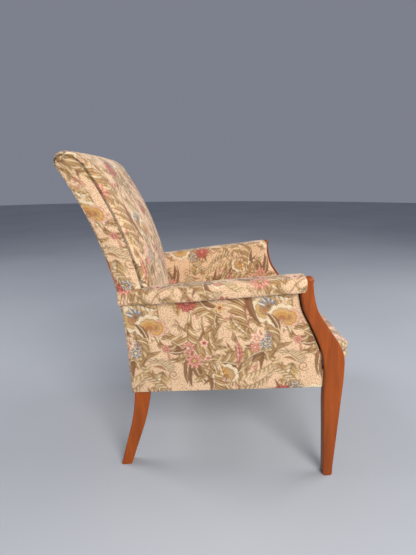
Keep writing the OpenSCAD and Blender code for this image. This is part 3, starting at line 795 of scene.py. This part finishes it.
def side_panel(side, word):
    """The stretched outer side, from the post to the rear leg and from the rail to the arm."""
    front = smooth(POST_REAR_EDGE, 16) + np.array([0.0035, 0])
    u, v = np.meshgrid(np.linspace(0, 1, 221), np.linspace(0, 1, 141))
    y = -0.29 + 0.53 * u
    for _ in range(8):
        z = (seat_z(y) - 0.003) * (1 - v) + (arm_z(y) + 0.0015) * v
        y0 = np.interp(z, front[:, 1], front[:, 0])
        y = y0 + (back_y(z) - 0.004 - y0) * u
    edge_in = np.minimum(np.minimum(u, 1 - u) * 0.5, np.minimum(v, 1 - v) * 0.28)
    spread = np.sin(math.pi * u) ** 0.5 * np.sin(math.pi * v) ** 0.5
    lift = 0.0034 + 0.0012 * ease(edge_in / 0.006) + 0.0016 * spread
    lift = lift + 0.0005 * wobble(np.stack([y, z], -1), 0.16, 3) * spread
    # two more rows all round, folded back towards the frame
    y, z, lift = (np.pad(a, 2, mode="edge") for a in (y, z, lift))
    for lines in (lift.T, lift):
        for k, drop in enumerate((0.0022, 0.0008)):
            for line in (lines[1 - k], lines[k - 2]):
                line[:] = np.minimum(line, drop)
    s = along(y)
    patch = (side_frame(lift, s, z, side), stack_uv(*side_cloth(s, z, side)))
    obj = cover(f"side_panel_{word}", [patch], (0.0, 0.0), (0, 0, 0.4),
                f"outside_arm_{word}")


# Arm cover: one cloth from the underside of the arm, over the top and down the inside to the seat
ARM_H, ARM_OVER, ARM_REACH = 0.040, 0.027, 0.044
ARM_R_LOW, ARM_R_TOP, ARM_ROLL = 0.006, 0.014, 0.012
ARM_FRONT_Y, ARM_BACK_Y, ARM_TAIL_Y = -0.238, 0.192, 0.256
WALL_X = 0.2626
INSIDE_FRONT_EDGE = [(-0.335, 0.300), (-0.334, 0.350), (-0.326, 0.384), (-0.287, 0.446), (-0.254, 0.496),
                     (-0.240, 0.540), (-0.238, 0.560)]
CORE_X0, CORE_X1, CORE_Z = -0.0138, 0.010, 0.016


def overhang(y):
    """How far the arm stands beyond the side frame; it tapers along the back's border."""
    return ARM_OVER - 0.015 * ease((y - 0.12) / 0.15)


def arm_section(y, parts, top_end=None):
    """Points (x, z) and outward normals of the arm's section at y, for columns given by parts and fractions."""
    kind, f = parts
    over = overhang(y)
    r_top = np.minimum(ARM_R_TOP, over - 0.002)
    if top_end is None:
        top_end = -ARM_REACH + ARM_R_TOP + 0 * y
    x, z, nx, nz = (np.zeros(np.broadcast(y, f).shape) for _ in range(4))
    f, kind, y = (np.broadcast_to(a, x.shape) for a in (f, kind, y))
    over, r_top, top_end = (np.broadcast_to(a, x.shape) for a in (over, r_top, top_end))
    down = arm_z(y) - (seat_z(y) + RAIL_H + 0.002)

    def put(which, px, pz, pnx, pnz):
        m = kind == which
        for target, value in ((x, px), (z, pz), (nx, pnx), (nz, pnz)):
            target[m] = np.broadcast_to(value, x.shape)[m]

    put(0, 0.0045 + (over - ARM_R_LOW - 0.0045) * f, 0.0, 0.0, -1.0)
    a = -math.pi / 2 * (1 - f)
    put(1, over - ARM_R_LOW * (1 - np.cos(a)), ARM_R_LOW * (1 + np.sin(a)), np.cos(a), np.sin(a))
    put(2, over + 0.0012 * np.sin(math.pi * f), ARM_R_LOW + (ARM_H - r_top - ARM_R_LOW) * f, 1.0, 0.0)
    a = math.pi / 2 * f
    put(3, over - r_top * (1 - np.cos(a)), ARM_H - r_top * (1 - np.sin(a)), np.cos(a), np.sin(a))
    put(4, over - r_top + (top_end - over + r_top) * f, ARM_H + 0.0022 * np.sin(math.pi * f), 0.0, 1.0)
    a = math.pi / 2 * (1 + f)
    put(5, -ARM_REACH + ARM_R_TOP * (1 + np.cos(a)), ARM_H - ARM_R_TOP * (1 - np.sin(a)), np.cos(a), np.sin(a))
    side_h = ARM_H - ARM_R_TOP
    put(6, -ARM_REACH - 0.004 * np.sin(math.pi * np.clip(f, 0, 1)), side_h - (side_h + down) * f, -1.0, 0.0)
    return x, z, nx, nz


def columns(counts):
    kind, f = [], []
    for k, n in counts:
        kind += [k] * n
        f += list(np.arange(n) / n)
    kind.append(counts[-1][0])
    f.append(1.0)
    return np.array(kind), np.array(f)


def arm_cover(side, word):
    parts = columns([(0, 5), (1, 4), (2, 6), (3, 8), (4, 17), (5, 8), (6, 74)])
    kind, f = parts
    edge_line = smooth(INSIDE_FRONT_EDGE, 12)
    y_front = np.full(len(f), ARM_FRONT_Y)
    for _ in range(8):
        _, z, _, _ = arm_section(y_front, parts)
        y_front = np.where(kind == 6, np.interp(arm_z(y_front) + z, edge_line[:, 1], edge_line[:, 0]), ARM_FRONT_Y)
    x_at_back = arm_section(np.full(len(f), ARM_BACK_Y), parts)[0]
    y_back = ARM_BACK_Y + 0.012 * ease((-0.0007 - x_at_back) / 0.008) - 0.014 * np.where(kind == 6, f, 0.0)
    t = np.linspace(0, 1, 171)[:, None]
    y_main = y_front + ARM_ROLL + (y_back - y_front - ARM_ROLL) * t
    x, z, nx, nz = arm_section(y_main, parts)
    ripple = 0.0007 * wobble(np.stack([y_main, z], -1), 0.11, 11) * np.sin(math.pi * np.clip(t * 1.02, 0, 1)) ** 0.3
    crease = 0.0011 * np.exp(-((f - 0.5) / 0.5) ** 2) * np.where(kind == 6, 1.0, 0.0)
    crease = crease * np.sin((y_main + 0.3 * z) * 46)
    x, z = x + nx * (ripple + crease), z + nz * (ripple + crease)
    # the front end: rolled over a quarter circle, then drawn in to the post
    rows_x, rows_z, rows_y, extra = [], [], [], []
    x0, z0, nx0, nz0 = arm_section(y_front + ARM_ROLL, parts)
    core_x = np.clip(x0, CORE_X0, CORE_X1)
    core_z = np.where(kind == 6, np.minimum(z0, CORE_Z), CORE_Z)
    for k in range(1, 8):
        a = math.pi / 2 * k / 7
        rows_x.append(x0 - nx0 * ARM_ROLL * (1 - math.cos(a)))
        rows_z.append(z0 - nz0 * ARM_ROLL * (1 - math.cos(a)))
        rows_y.append(y_front + ARM_ROLL * (1 - math.sin(a)))
        extra.append(ARM_ROLL * a)
    for k in range(1, 6):
        rows_x.append(rows_x[6] + (core_x - rows_x[6]) * k / 5)
        rows_z.append(rows_z[6] + (core_z - rows_z[6]) * k / 5)
        rows_y.append(y_front + 0.0)
        extra.append(ARM_ROLL * math.pi / 2 + 0.003 * k)
    xs = np.vstack([np.array(rows_x)[::-1], x])
    zs = np.vstack([np.array(rows_z)[::-1], z])
    ys = np.vstack([np.array(rows_y)[::-1], y_main])
    ahead = np.concatenate([np.array(extra)[::-1], np.zeros(len(t))])[:, None]
    points = side_frame(xs, along(ys), arm_z(ys) + zs, side)
    girth = runs(points[90])
    u = -along(np.maximum(ys, y_front + ARM_ROLL)) + ahead
    if side > 0:
        u = -u
    # painted shade under the arm's overhang: the first 12 mm of the underside darkened
    shade = 1.0 - 0.35 * ease((0.012 - girth) / 0.012)
    patches = [(points, stack_uv(u, girth, shade))]
    # the tail, wrapped along the outside of the back's border and pleated
    tail = columns([(0, 5), (1, 4), (2, 6), (3, 8), (4, 6)])
    ty = ARM_BACK_Y + (ARM_TAIL_Y - ARM_BACK_Y) * np.linspace(0, 1, 40)[:, None]
    wall = (WALL_X - side_x(ty)) / math.cos(TAPER)
    tx, tz, tnx, tnz = arm_section(ty, tail, np.minimum(wall, overhang(ty) - 0.003))
    pleat = 0.0013 * np.sin(2 * math.pi * (ty + 0.15 * tz) / 0.0095) * ease((ty - ARM_BACK_Y) / 0.012)
    pleat = pleat * np.where((tail[0] >= 2) & (tail[0] <= 4), 1.0, 0.0)
    tx, tz = tx + tnx * pleat, tz + tnz * pleat
    ends_x, ends_z, ends_y = [], [], []
    for k in range(1, 5):
        a = math.pi / 2 * k / 4
        ends_x.append(wall[-1] + (tx[-1] - wall[-1]) * math.cos(a))
        ends_z.append(tz[-1])
        ends_y.append(np.full(tx.shape[1], ARM_TAIL_Y + 0.004 * math.sin(a)))
    tx, tz = np.vstack([tx, ends_x]), np.vstack([tz, ends_z])
    ty = np.vstack([np.broadcast_to(ty, (len(ty), tx.shape[1])), ends_y])
    tail_points = side_frame(tx, along(ty), arm_z(ty) + tz, side)
    tail_u = -along(ty) if side < 0 else along(ty)
    tail_girth = runs(tail_points[0])
    # the same painted shade under the overhang, on the tail's underside
    patches.append((tail_points, stack_uv(tail_u, tail_girth, 1.0 - 0.35 * ease((0.012 - tail_girth) / 0.012))))
    obj = cover(f"arm_cover_{word}", patches, (0.02, 0.06), (side * 0.295, 0, 0.5),
                f"arm_pad_{word}", f"inside_arm_{word}")


# The back: the padded inside rolls over the top; its edge is stitched to the border panels
EDGE_X = 0.2614
LOW_X = 0.2172
CROWN_MID, CROWN_REACH = 0.740, 0.760


def crown_across(u):
    return (1 - np.abs(u) ** 2.6) ** 0.62


def crown_up(z):
    return 1 - ((z - CROWN_MID) / CROWN_REACH) ** 2


EDGE_ROUND = 0.014     # how far in from the border's seam the padding rounds over


def roll_curve(fullness, edge_full, t):
    """Over the top of the back, from front to rear: (y, z). Both fullnesses are 0 at a border's seam."""
    front = grid(front_face(RISE_END, fullness, edge_full), RISE_END)
    rear = grid(back_y(RISE_END) + 0 * edge_full, RISE_END)
    lift_front = (0.041 + 0.020 * edge_full)[..., None] * np.array([0.54, 0.84])
    lift_rear = (0.033 + 0.018 * edge_full)[..., None] * np.array([0.35, 0.94])
    t = t[..., None]
    return (front * (1 - t) ** 3 + 3 * (front + lift_front) * (1 - t) ** 2 * t
            + 3 * (rear + lift_rear) * (1 - t) * t ** 2 + rear * t ** 3)


def front_face(z, fullness, edge_full):
    return back_y(z) - BACK_T - 0.011 * edge_full - (BACK_CROWN - 0.011) * crown_up(z) * fullness


def inside_back():
    a = np.radians(np.linspace(0, 90, 13))[:-1]
    rounded = 1 - EDGE_ROUND * (1 - np.cos(a)) / EDGE_X
    inner = 1 - EDGE_ROUND / EDGE_X
    u = np.concatenate([-rounded, np.linspace(-inner, inner, 187), rounded[::-1]])
    edge_full = np.sqrt(1 - (1 - np.clip((1 - np.abs(u)) * EDGE_X / EDGE_ROUND, 0, 1)) ** 2)
    full = crown_across(u)
    z = np.linspace(0.306, RISE_END, 190)[:, None]
    half = LOW_X + (EDGE_X - LOW_X) * ease((z - 0.530) / 0.026)
    x = half * u
    y = front_face(z, full, edge_full)
    soft = grid(x, z)
    y = y - 0.0009 * wobble(soft, 0.17, 21) * full
    front = grid(x, y, z)
    over = roll_curve(*np.broadcast_arrays(full, edge_full, np.linspace(0, 1, 34)[1:, None]))
    over = np.concatenate([np.broadcast_to(EDGE_X * u, over.shape[:2])[..., None], over], -1)
    points = np.concatenate([front, over], 0)
    across = runs(points[150])
    up = runs(points[:, 105])
    # painted shade of the seam's groove: the cover darkened within 1.6 mm of each border seam
    shade = 1 - 0.6 * ease((0.0016 - (1 - np.abs(u)) * EDGE_X) / 0.0008)
    obj = cover("back_cover", [(points, stack_uv(across - across[105], up[:, None], shade))], (0.12, 0.02),
                (0, 0.26, 0.6), "inside_back")


def border_panel(side, word):
    """The flat side of the back, inside a plain stitched seam."""
    across = np.linspace(0, 1, 29)
    z = np.linspace(0.504, RISE_END, 120)[:, None]
    front = grid(back_y(z) - BACK_T, z)
    rear = grid(back_y(z) - 0.003, z)
    bend = np.linspace(0, 0.5, 22)[1:, None]
    flat = np.zeros_like(bend)
    seam = np.array([0.003, 0]) * (1 - 2 * bend[..., None])
    front = np.concatenate([front, roll_curve(flat, flat, bend)], 0)
    rear = np.concatenate([rear, roll_curve(flat, flat, 1 - bend) - seam], 0)
    yz = front + (rear - front) * across[None, :, None]
    width = np.linalg.norm(rear - front, axis=-1)
    inset = np.minimum(np.minimum(across, 1 - across) * width, 0.02 + (0.892 - yz[..., 1]).clip(0) * 0.9)
    puff = 0.0022 * ease(inset / 0.03) - 0.0014 * ease((0.0025 - inset) / 0.0025)
    x = side * (BACK_HALF - 0.0004 + puff)
    points = np.concatenate([x[..., None], yz], -1)
    run = runs(points[:, 14])
    # painted shade of the seam's groove: the panel darkened within 1.6 mm of its edges
    shade = 1 - 0.45 * ease((0.0016 - inset) / 0.0016)
    u = (across - 0.5)[None] * width * (1 if side > 0 else -1)
    obj = cover(f"border_panel_{word}", [(points, stack_uv(u, run[:, None], shade))], (0.02, 0.15),
                (0, 0.28, 0.7), f"back_border_{word}")


def outside_back():
    """The stretched rear cover, turned over at both sides and under the rail."""
    roll = 0.0045
    x_flat = np.linspace(-1, 1, 175) * (BACK_HALF - roll)
    z = np.linspace(BACK_LOW_Z - 0.002, RISE_END, 210)[:, None]
    a = np.radians([0, 22.5, 45, 67.5])
    flat = BACK_HALF - roll
    x = np.concatenate([-flat - roll * np.cos(a), x_flat, flat + roll * np.cos(a[::-1])])
    sink = np.concatenate([roll * (1 - np.sin(a)), 0 * x_flat, roll * (1 - np.sin(a[::-1]))])
    up = np.clip((z - BACK_LOW_Z) / (RISE_END - BACK_LOW_Z), 0, 1)
    spread = (np.clip(1 - (x / BACK_HALF) ** 2, 0, 1) * np.sin(math.pi * up)).clip(0) ** 0.5
    point = grid(x, z)
    y = back_y(z) - sink + 0.0022 * spread + 0.0004 * wobble(point, 0.2, 31) * spread
    points = grid(x, y, z)
    hem = points[:1] + np.array([0, -0.006, 0.0])
    points = np.concatenate([hem, points], 0)
    run = runs(points[:, 90])
    obj = cover("outside_back_cover", [(points, stack_uv(-x, run[:, None]))], (0.0, 0.07), (0, 0.1, 0.5),
                "outside_back")


def front_border():
    """The covered front rail, under the cushion's nose."""
    low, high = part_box("front_border")
    x = np.linspace(low[0], high[0], 205)
    v = np.linspace(0, 1, 25)[:, None]
    z = low[2] + (high[2] - low[2]) * v
    y = low[1] - 0.0015 * np.sin(math.pi * v) + 0.0 * x + 0.0004
    points = grid(x, y, z)
    turn_in = np.array([0, 0.005, 0.0])
    points = np.concatenate([points[:1] + turn_in, points, points[-1:] + turn_in], 0)
    run = runs(points[:, 100])
    obj = cover("front_border_cover", [(points, stack_uv(x, run[:, None]))], (0.05, 0.24), (0, 0, 0.3), "front_border")


# ---- the loose cushion
CUSHION_T = 0.078
CUSHION_LIFT = 0.044       # its underside above the seat's lower line
CUSHION_FRONT, CUSHION_BOW, CUSHION_REAR = -0.396, 0.008, 0.130
CUSHION_R_FRONT, CUSHION_R_REAR = 0.030, 0.018
CUSHION_MIDDLE = (0, -0.13, 0.355)
CUSHION_UP = np.array([0, math.sin(SEAT_SLOPE), math.cos(SEAT_SLOPE)])
# how far the worn front edge goes down and forwards, and from how far in
DROOP, DROOP_AHEAD, DROOP_REACH = 0.031, 0.004, 0.10
SPRING_GAP = 0.0008


def cushion_side(y):
    return side_x(y) - ARM_REACH / math.cos(TAPER) - 0.002


def cushion_plan(inset):
    """Half outline, from the middle of the front round to the middle of the rear: (x, y)."""
    def corner(x, y, radius, low, high, n):
        a = np.radians(np.linspace(low, high, n))
        return np.stack([x + (radius - inset) * np.cos(a), y + (radius - inset) * np.sin(a)], 1)

    y0 = CUSHION_FRONT + CUSHION_BOW
    fx, fy = cushion_side(y0 + CUSHION_R_FRONT) - CUSHION_R_FRONT, y0 + CUSHION_R_FRONT
    rx, ry = cushion_side(CUSHION_REAR - CUSHION_R_REAR) - CUSHION_R_REAR, CUSHION_REAR - CUSHION_R_REAR
    k = np.linspace(0, 0.98, 30)
    front = np.stack([fx * k, y0 - CUSHION_BOW * (1 - k * k) + inset], 1)
    return np.vstack([front, corner(fx, fy, CUSHION_R_FRONT, -90, 0, 13),
                      corner(rx, ry, CUSHION_R_REAR, 0, 90, 10), [[0, CUSHION_REAR - inset]]])


def cushion_frame(x, y, h):
    """A point of the cushion in its own sloping frame, h above its underside."""
    dy = y - JOINT_Y
    return grid(x, JOINT_Y + dy * math.cos(SEAT_SLOPE) + h * math.sin(SEAT_SLOPE),
                SEAT_Z + CUSHION_LIFT - dy * math.sin(SEAT_SLOPE) + h * math.cos(SEAT_SLOPE))


def cushion_grids(inset, thick, n_across, n_along, n_up):
    """The two faces and the band of a box cushion, as grids of (x, y, h) with cloth coordinates."""
    half = cushion_plan(inset)
    loop = np.vstack([half, (half * [-1, 1])[::-1][1:-1]])
    closed = np.vstack([loop, loop[:1]])
    run = runs(closed)
    total = run[-1]
    ways = np.array([(1.0, -1.0), (1.0, 1.0), (-1.0, 1.0), (-1.0, -1.0)])
    a, b, c, e = (run[np.argmax(loop @ way)] for way in ways)

    def between(low, high, n):
        q = np.linspace(low, high, n)
        return np.stack([np.interp(q % total, run, closed[:, k]) for k in (0, 1)], -1)

    right, left = between(a, b, n_along), between(e, c, n_along)
    front, rear = between(e, a + total, n_across), between(b, c, n_across)[::-1]
    s, t = np.linspace(0, 1, n_across)[None, :, None], np.linspace(0, 1, n_along)[:, None, None]
    plan = ((1 - t) * front[None] + t * rear[None] + (1 - s) * left[:, None] + s * right[:, None]
            - ((1 - s) * (1 - t) * front[0] + s * (1 - t) * front[-1] + (1 - s) * t * rear[0] + s * t * rear[-1]))
    ring = np.vstack([front[:-1], right[:-1], rear[::-1][:-1], left[::-1]])
    rise = np.linspace(0, 1, n_up) * thick
    band = np.concatenate([np.broadcast_to(ring, (n_up,) + ring.shape),
                           np.broadcast_to(rise[:, None, None], (n_up, len(ring), 1))], -1)
    x, y = plan[..., 0], plan[..., 1]
    return [(grid(x, y, 0.0), stack_uv(-x, y + 0.2)), (grid(x, y, thick), stack_uv(x, y)),
            (band, stack_uv(runs(ring)[None, :], rise[:, None] + 0.11))]


def points_of(mesh):
    points = np.empty(len(mesh.vertices) * 3, np.float32)
    mesh.vertices.foreach_get("co", points)
    return points.reshape(-1, 3)


def move_points(obj, points):
    obj.data.vertices.foreach_set("co", points.astype(np.float32).ravel())
    obj.data.update()


def settle_cloth(obj, frames, pressure, cap):
    """Swells a closed mesh by cloth simulation, no point further than cap, and keeps the result."""
    rest = points_of(obj.data)
    modifier = obj.modifiers.new("swell", "CLOTH")
    s = modifier.settings
    s.use_pressure = True
    s.uniform_pressure_force = pressure
    s.effector_weights.gravity = 0.0
    s.quality = 5
    s.mass = 0.3
    s.tension_stiffness = s.compression_stiffness = 12.0
    s.bending_stiffness = 0.6
    modifier.point_cache.frame_start, modifier.point_cache.frame_end = 1, frames
    for k in range(1, frames + 1):
        bpy.context.scene.frame_set(k)
    way = points_of(obj.evaluated_get(bpy.context.evaluated_depsgraph_get()).to_mesh()) - rest
    obj.modifiers.remove(modifier)
    bpy.context.scene.frame_set(1)
    far = np.linalg.norm(way, axis=1)[:, None]
    move_points(obj, rest + way * np.tanh(far / cap) * cap / np.maximum(far, 1e-9))


def rest_in_place(obj):
    """Flattens the cushion's underside on the springs, and lets its worn front edge droop."""
    points = points_of(obj.data)
    height = (points - np.array([0, JOINT_Y, SEAT_Z + CUSHION_LIFT])) @ CUSHION_UP
    near_front = ease((CUSHION_FRONT + DROOP_REACH - points[:, 1]) / DROOP_REACH)
    near_front = near_front * np.clip(height / CUSHION_T, 0, 1)
    points[:, 1] -= DROOP_AHEAD * near_front
    points += (np.clip(SPRING_GAP - height, 0, None) - DROOP * near_front)[:, None] * CUSHION_UP
    move_points(obj, points)


def cushion_box(name, inset, thick, *counts):
    """A closed box on the cushion's plan, drawn in by inset at the sides and raised by as much."""
    grids = [(cushion_frame(g[..., 0], g[..., 1], g[..., 2] + inset), uv)
             for g, uv in cushion_grids(inset, thick, *counts)]
    return face_outwards(patchwork(name, grids, weld=0.0002), CUSHION_MIDDLE)


def cushion():
    """The box cushion's cover: swollen by simulation, laid on the springs, and made finer."""
    obj = cushion_box("seat_cushion", 0.004, CUSHION_T - 0.014, 93, 89, 13)
    settle_cloth(obj, 20, 4.0, 0.012)
    rest_in_place(obj)
    sub = obj.modifiers.new("fine", "SUBSURF")
    sub.levels = sub.render_levels = 1
    sub.uv_smooth = "PRESERVE_BOUNDARIES"
    mesh = bpy.data.meshes.new_from_object(obj.evaluated_get(bpy.context.evaluated_depsgraph_get()))
    obj.modifiers.remove(sub)
    obj.data = mesh
    mesh.shade_smooth()
    dye(obj, (0.16, 0.31))
    give(obj, "cushion", "fabric", TAPESTRY, "cushion_cover")


def cushion_foam():
    obj = cushion_box("cushion_foam", 0.012, CUSHION_T - 0.026, 24, 22, 4)
    rest_in_place(obj)
    give(obj, "cushion", "foam", FOAM, "cushion_core")


# ---- springs
COIL_R, HOOK_R, COIL_PITCH = 0.0055, 0.0016, 0.004
COIL_SIDES = 12
SEAT_SPRING_RISE = 0.038       # above the side frames' lower line
BACK_SPRING_SET = 0.030        # in front of the rear cover


def spring_tube(name, ends, node):
    """Close-wound tension springs across the frame: ribbed coils with a plain hook at each end."""
    verts, faces, start = [], [], 0
    around = np.linspace(0, 2 * math.pi, COIL_SIDES, endpoint=False)
    for y, z, half in ends:
        body = half - 0.026
        xs = np.arange(-body, body + COIL_PITCH / 6, COIL_PITCH / 4)
        xs = np.concatenate([[-half, -body - 0.002], xs, [body + 0.002, half]])
        for x in xs:
            coil = COIL_R - 0.0007 * (1 + np.cos(2 * math.pi * x / COIL_PITCH + around)) / 2
            r = coil if abs(x) <= body else np.full(COIL_SIDES, HOOK_R)
            verts.append(grid(x, y + r * np.cos(around), z + r * np.sin(around)))
        ids = start + np.arange(len(xs) * COIL_SIDES).reshape(len(xs), COIL_SIDES)
        after = np.roll(ids, -1, axis=1)
        faces += list(np.stack([ids[:-1], after[:-1], after[1:], ids[1:]], -1).reshape(-1, 4))
        faces += [ids[0], ids[-1][::-1]]
        start += ids.size
    give(new_object(name, np.vstack(verts), faces), "chair", "spring_steel", SPRING, node)


def springs():
    seat = [(y, seat_z(y) + SEAT_SPRING_RISE, side_x(y) - 0.0247 / math.cos(TAPER) + 0.0018)
            for y in (-0.240 + 0.060 * k for k in range(7))]
    spring_tube("seat_spring_coils", seat, "seat_springs")
    back = [(float(back_y(z)) - BACK_SPRING_SET, z, UPRIGHT_X0 + 0.012) for z in np.linspace(0.444, 0.784, 5)]
    spring_tube("back_spring_coils", back, "back_springs")


# ---- everything in place
for side, word in ((-1, "right"), (1, "left")):
    side_panel(side, word)
    arm_cover(side, word)
    border_panel(side, word)
inside_back()
outside_back()
front_border()
cushion()
cushion_foam()
springs()

for name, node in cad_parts.items():
    if node.hide_render:
        continue
    wooden = "rail" in name or "block" in name or "dowel" in name
    node.data.materials.clear()
    node.data.materials.append(BEECH if wooden else ZINC)


# ---- studio, light and camera
def stage():
    bpy.ops.mesh.primitive_circle_add(vertices=96, radius=14.0, fill_type="NGON", location=(0, 0, 0))
    floor = bpy.context.object
    floor.name = "studio_floor"
    n = Nodes("studio_floor")
    cloud = n.noise(n.stretched("Object", (0.8, 0.8, 0.8)), 1.0, 3.0)
    n.set(Base_Color=n.between(cloud, (0.40, 0.43, 0.47), (0.45, 0.48, 0.52)), Roughness=0.85)
    floor.data.materials.append(n.material)
    world = bpy.data.worlds.new("studio")
    bpy.context.scene.world = world
    world.use_nodes = True
    back = world.node_tree.nodes["Background"]
    back.inputs["Color"].default_value = (0.205, 0.215, 0.265, 1)
    back.inputs["Strength"].default_value = 1.0


def lamp(name, at, target, size, power, colour):
    data = bpy.data.lights.new(name, "AREA")
    data.shape = "DISK"
    data.size = size
    data.energy = power
    data.color = colour
    obj = place(name, data)
    obj.location = at
    obj.rotation_euler = (Vector(target) - Vector(at)).to_track_quat("-Z", "Y").to_euler()


CAMERA_PLACE = (-1.321, 0.059, 0.837)
CAMERA_ANGLES = (-2.32, 13.76, -0.35)      # yaw, pitch and roll
CAMERA_LENS = 26.34


def camera():
    """At the photograph's viewing angle, from the sitter's right."""
    yaw, pitch, roll = (math.radians(angle) for angle in CAMERA_ANGLES)
    ahead = Vector((math.cos(yaw) * math.cos(pitch), math.sin(yaw) * math.cos(pitch), -math.sin(pitch)))
    across = ahead.cross(Vector((0, 0, 1))).normalized()
    up = across.cross(ahead)
    right = math.cos(roll) * across + math.sin(roll) * up
    top = -math.sin(roll) * across + math.cos(roll) * up
    data = bpy.data.cameras.new("camera")
    data.sensor_width = 36.0
    data.lens = CAMERA_LENS
    obj = place("camera", data)
    turn = Matrix((right, top, -ahead)).transposed().to_4x4()
    obj.matrix_world = Matrix.Translation(CAMERA_PLACE) @ turn
    bpy.context.scene.camera = obj


bpy.context.scene.view_settings.view_transform = "Standard"
stage()
lamp("key", (-2.9, -0.9, 2.0), (0, 0, 0.45), 1.8, 112, (1.0, 0.95, 0.90))
lamp("fill", (0.3, -3.2, 2.2), (0, 0, 0.4), 2.5, 60, (1.0, 0.98, 0.96))
lamp("rear", (0.6, 2.6, 2.9), (0, 0, 0.5), 2.2, 55, (1.0, 0.98, 0.97))
camera()
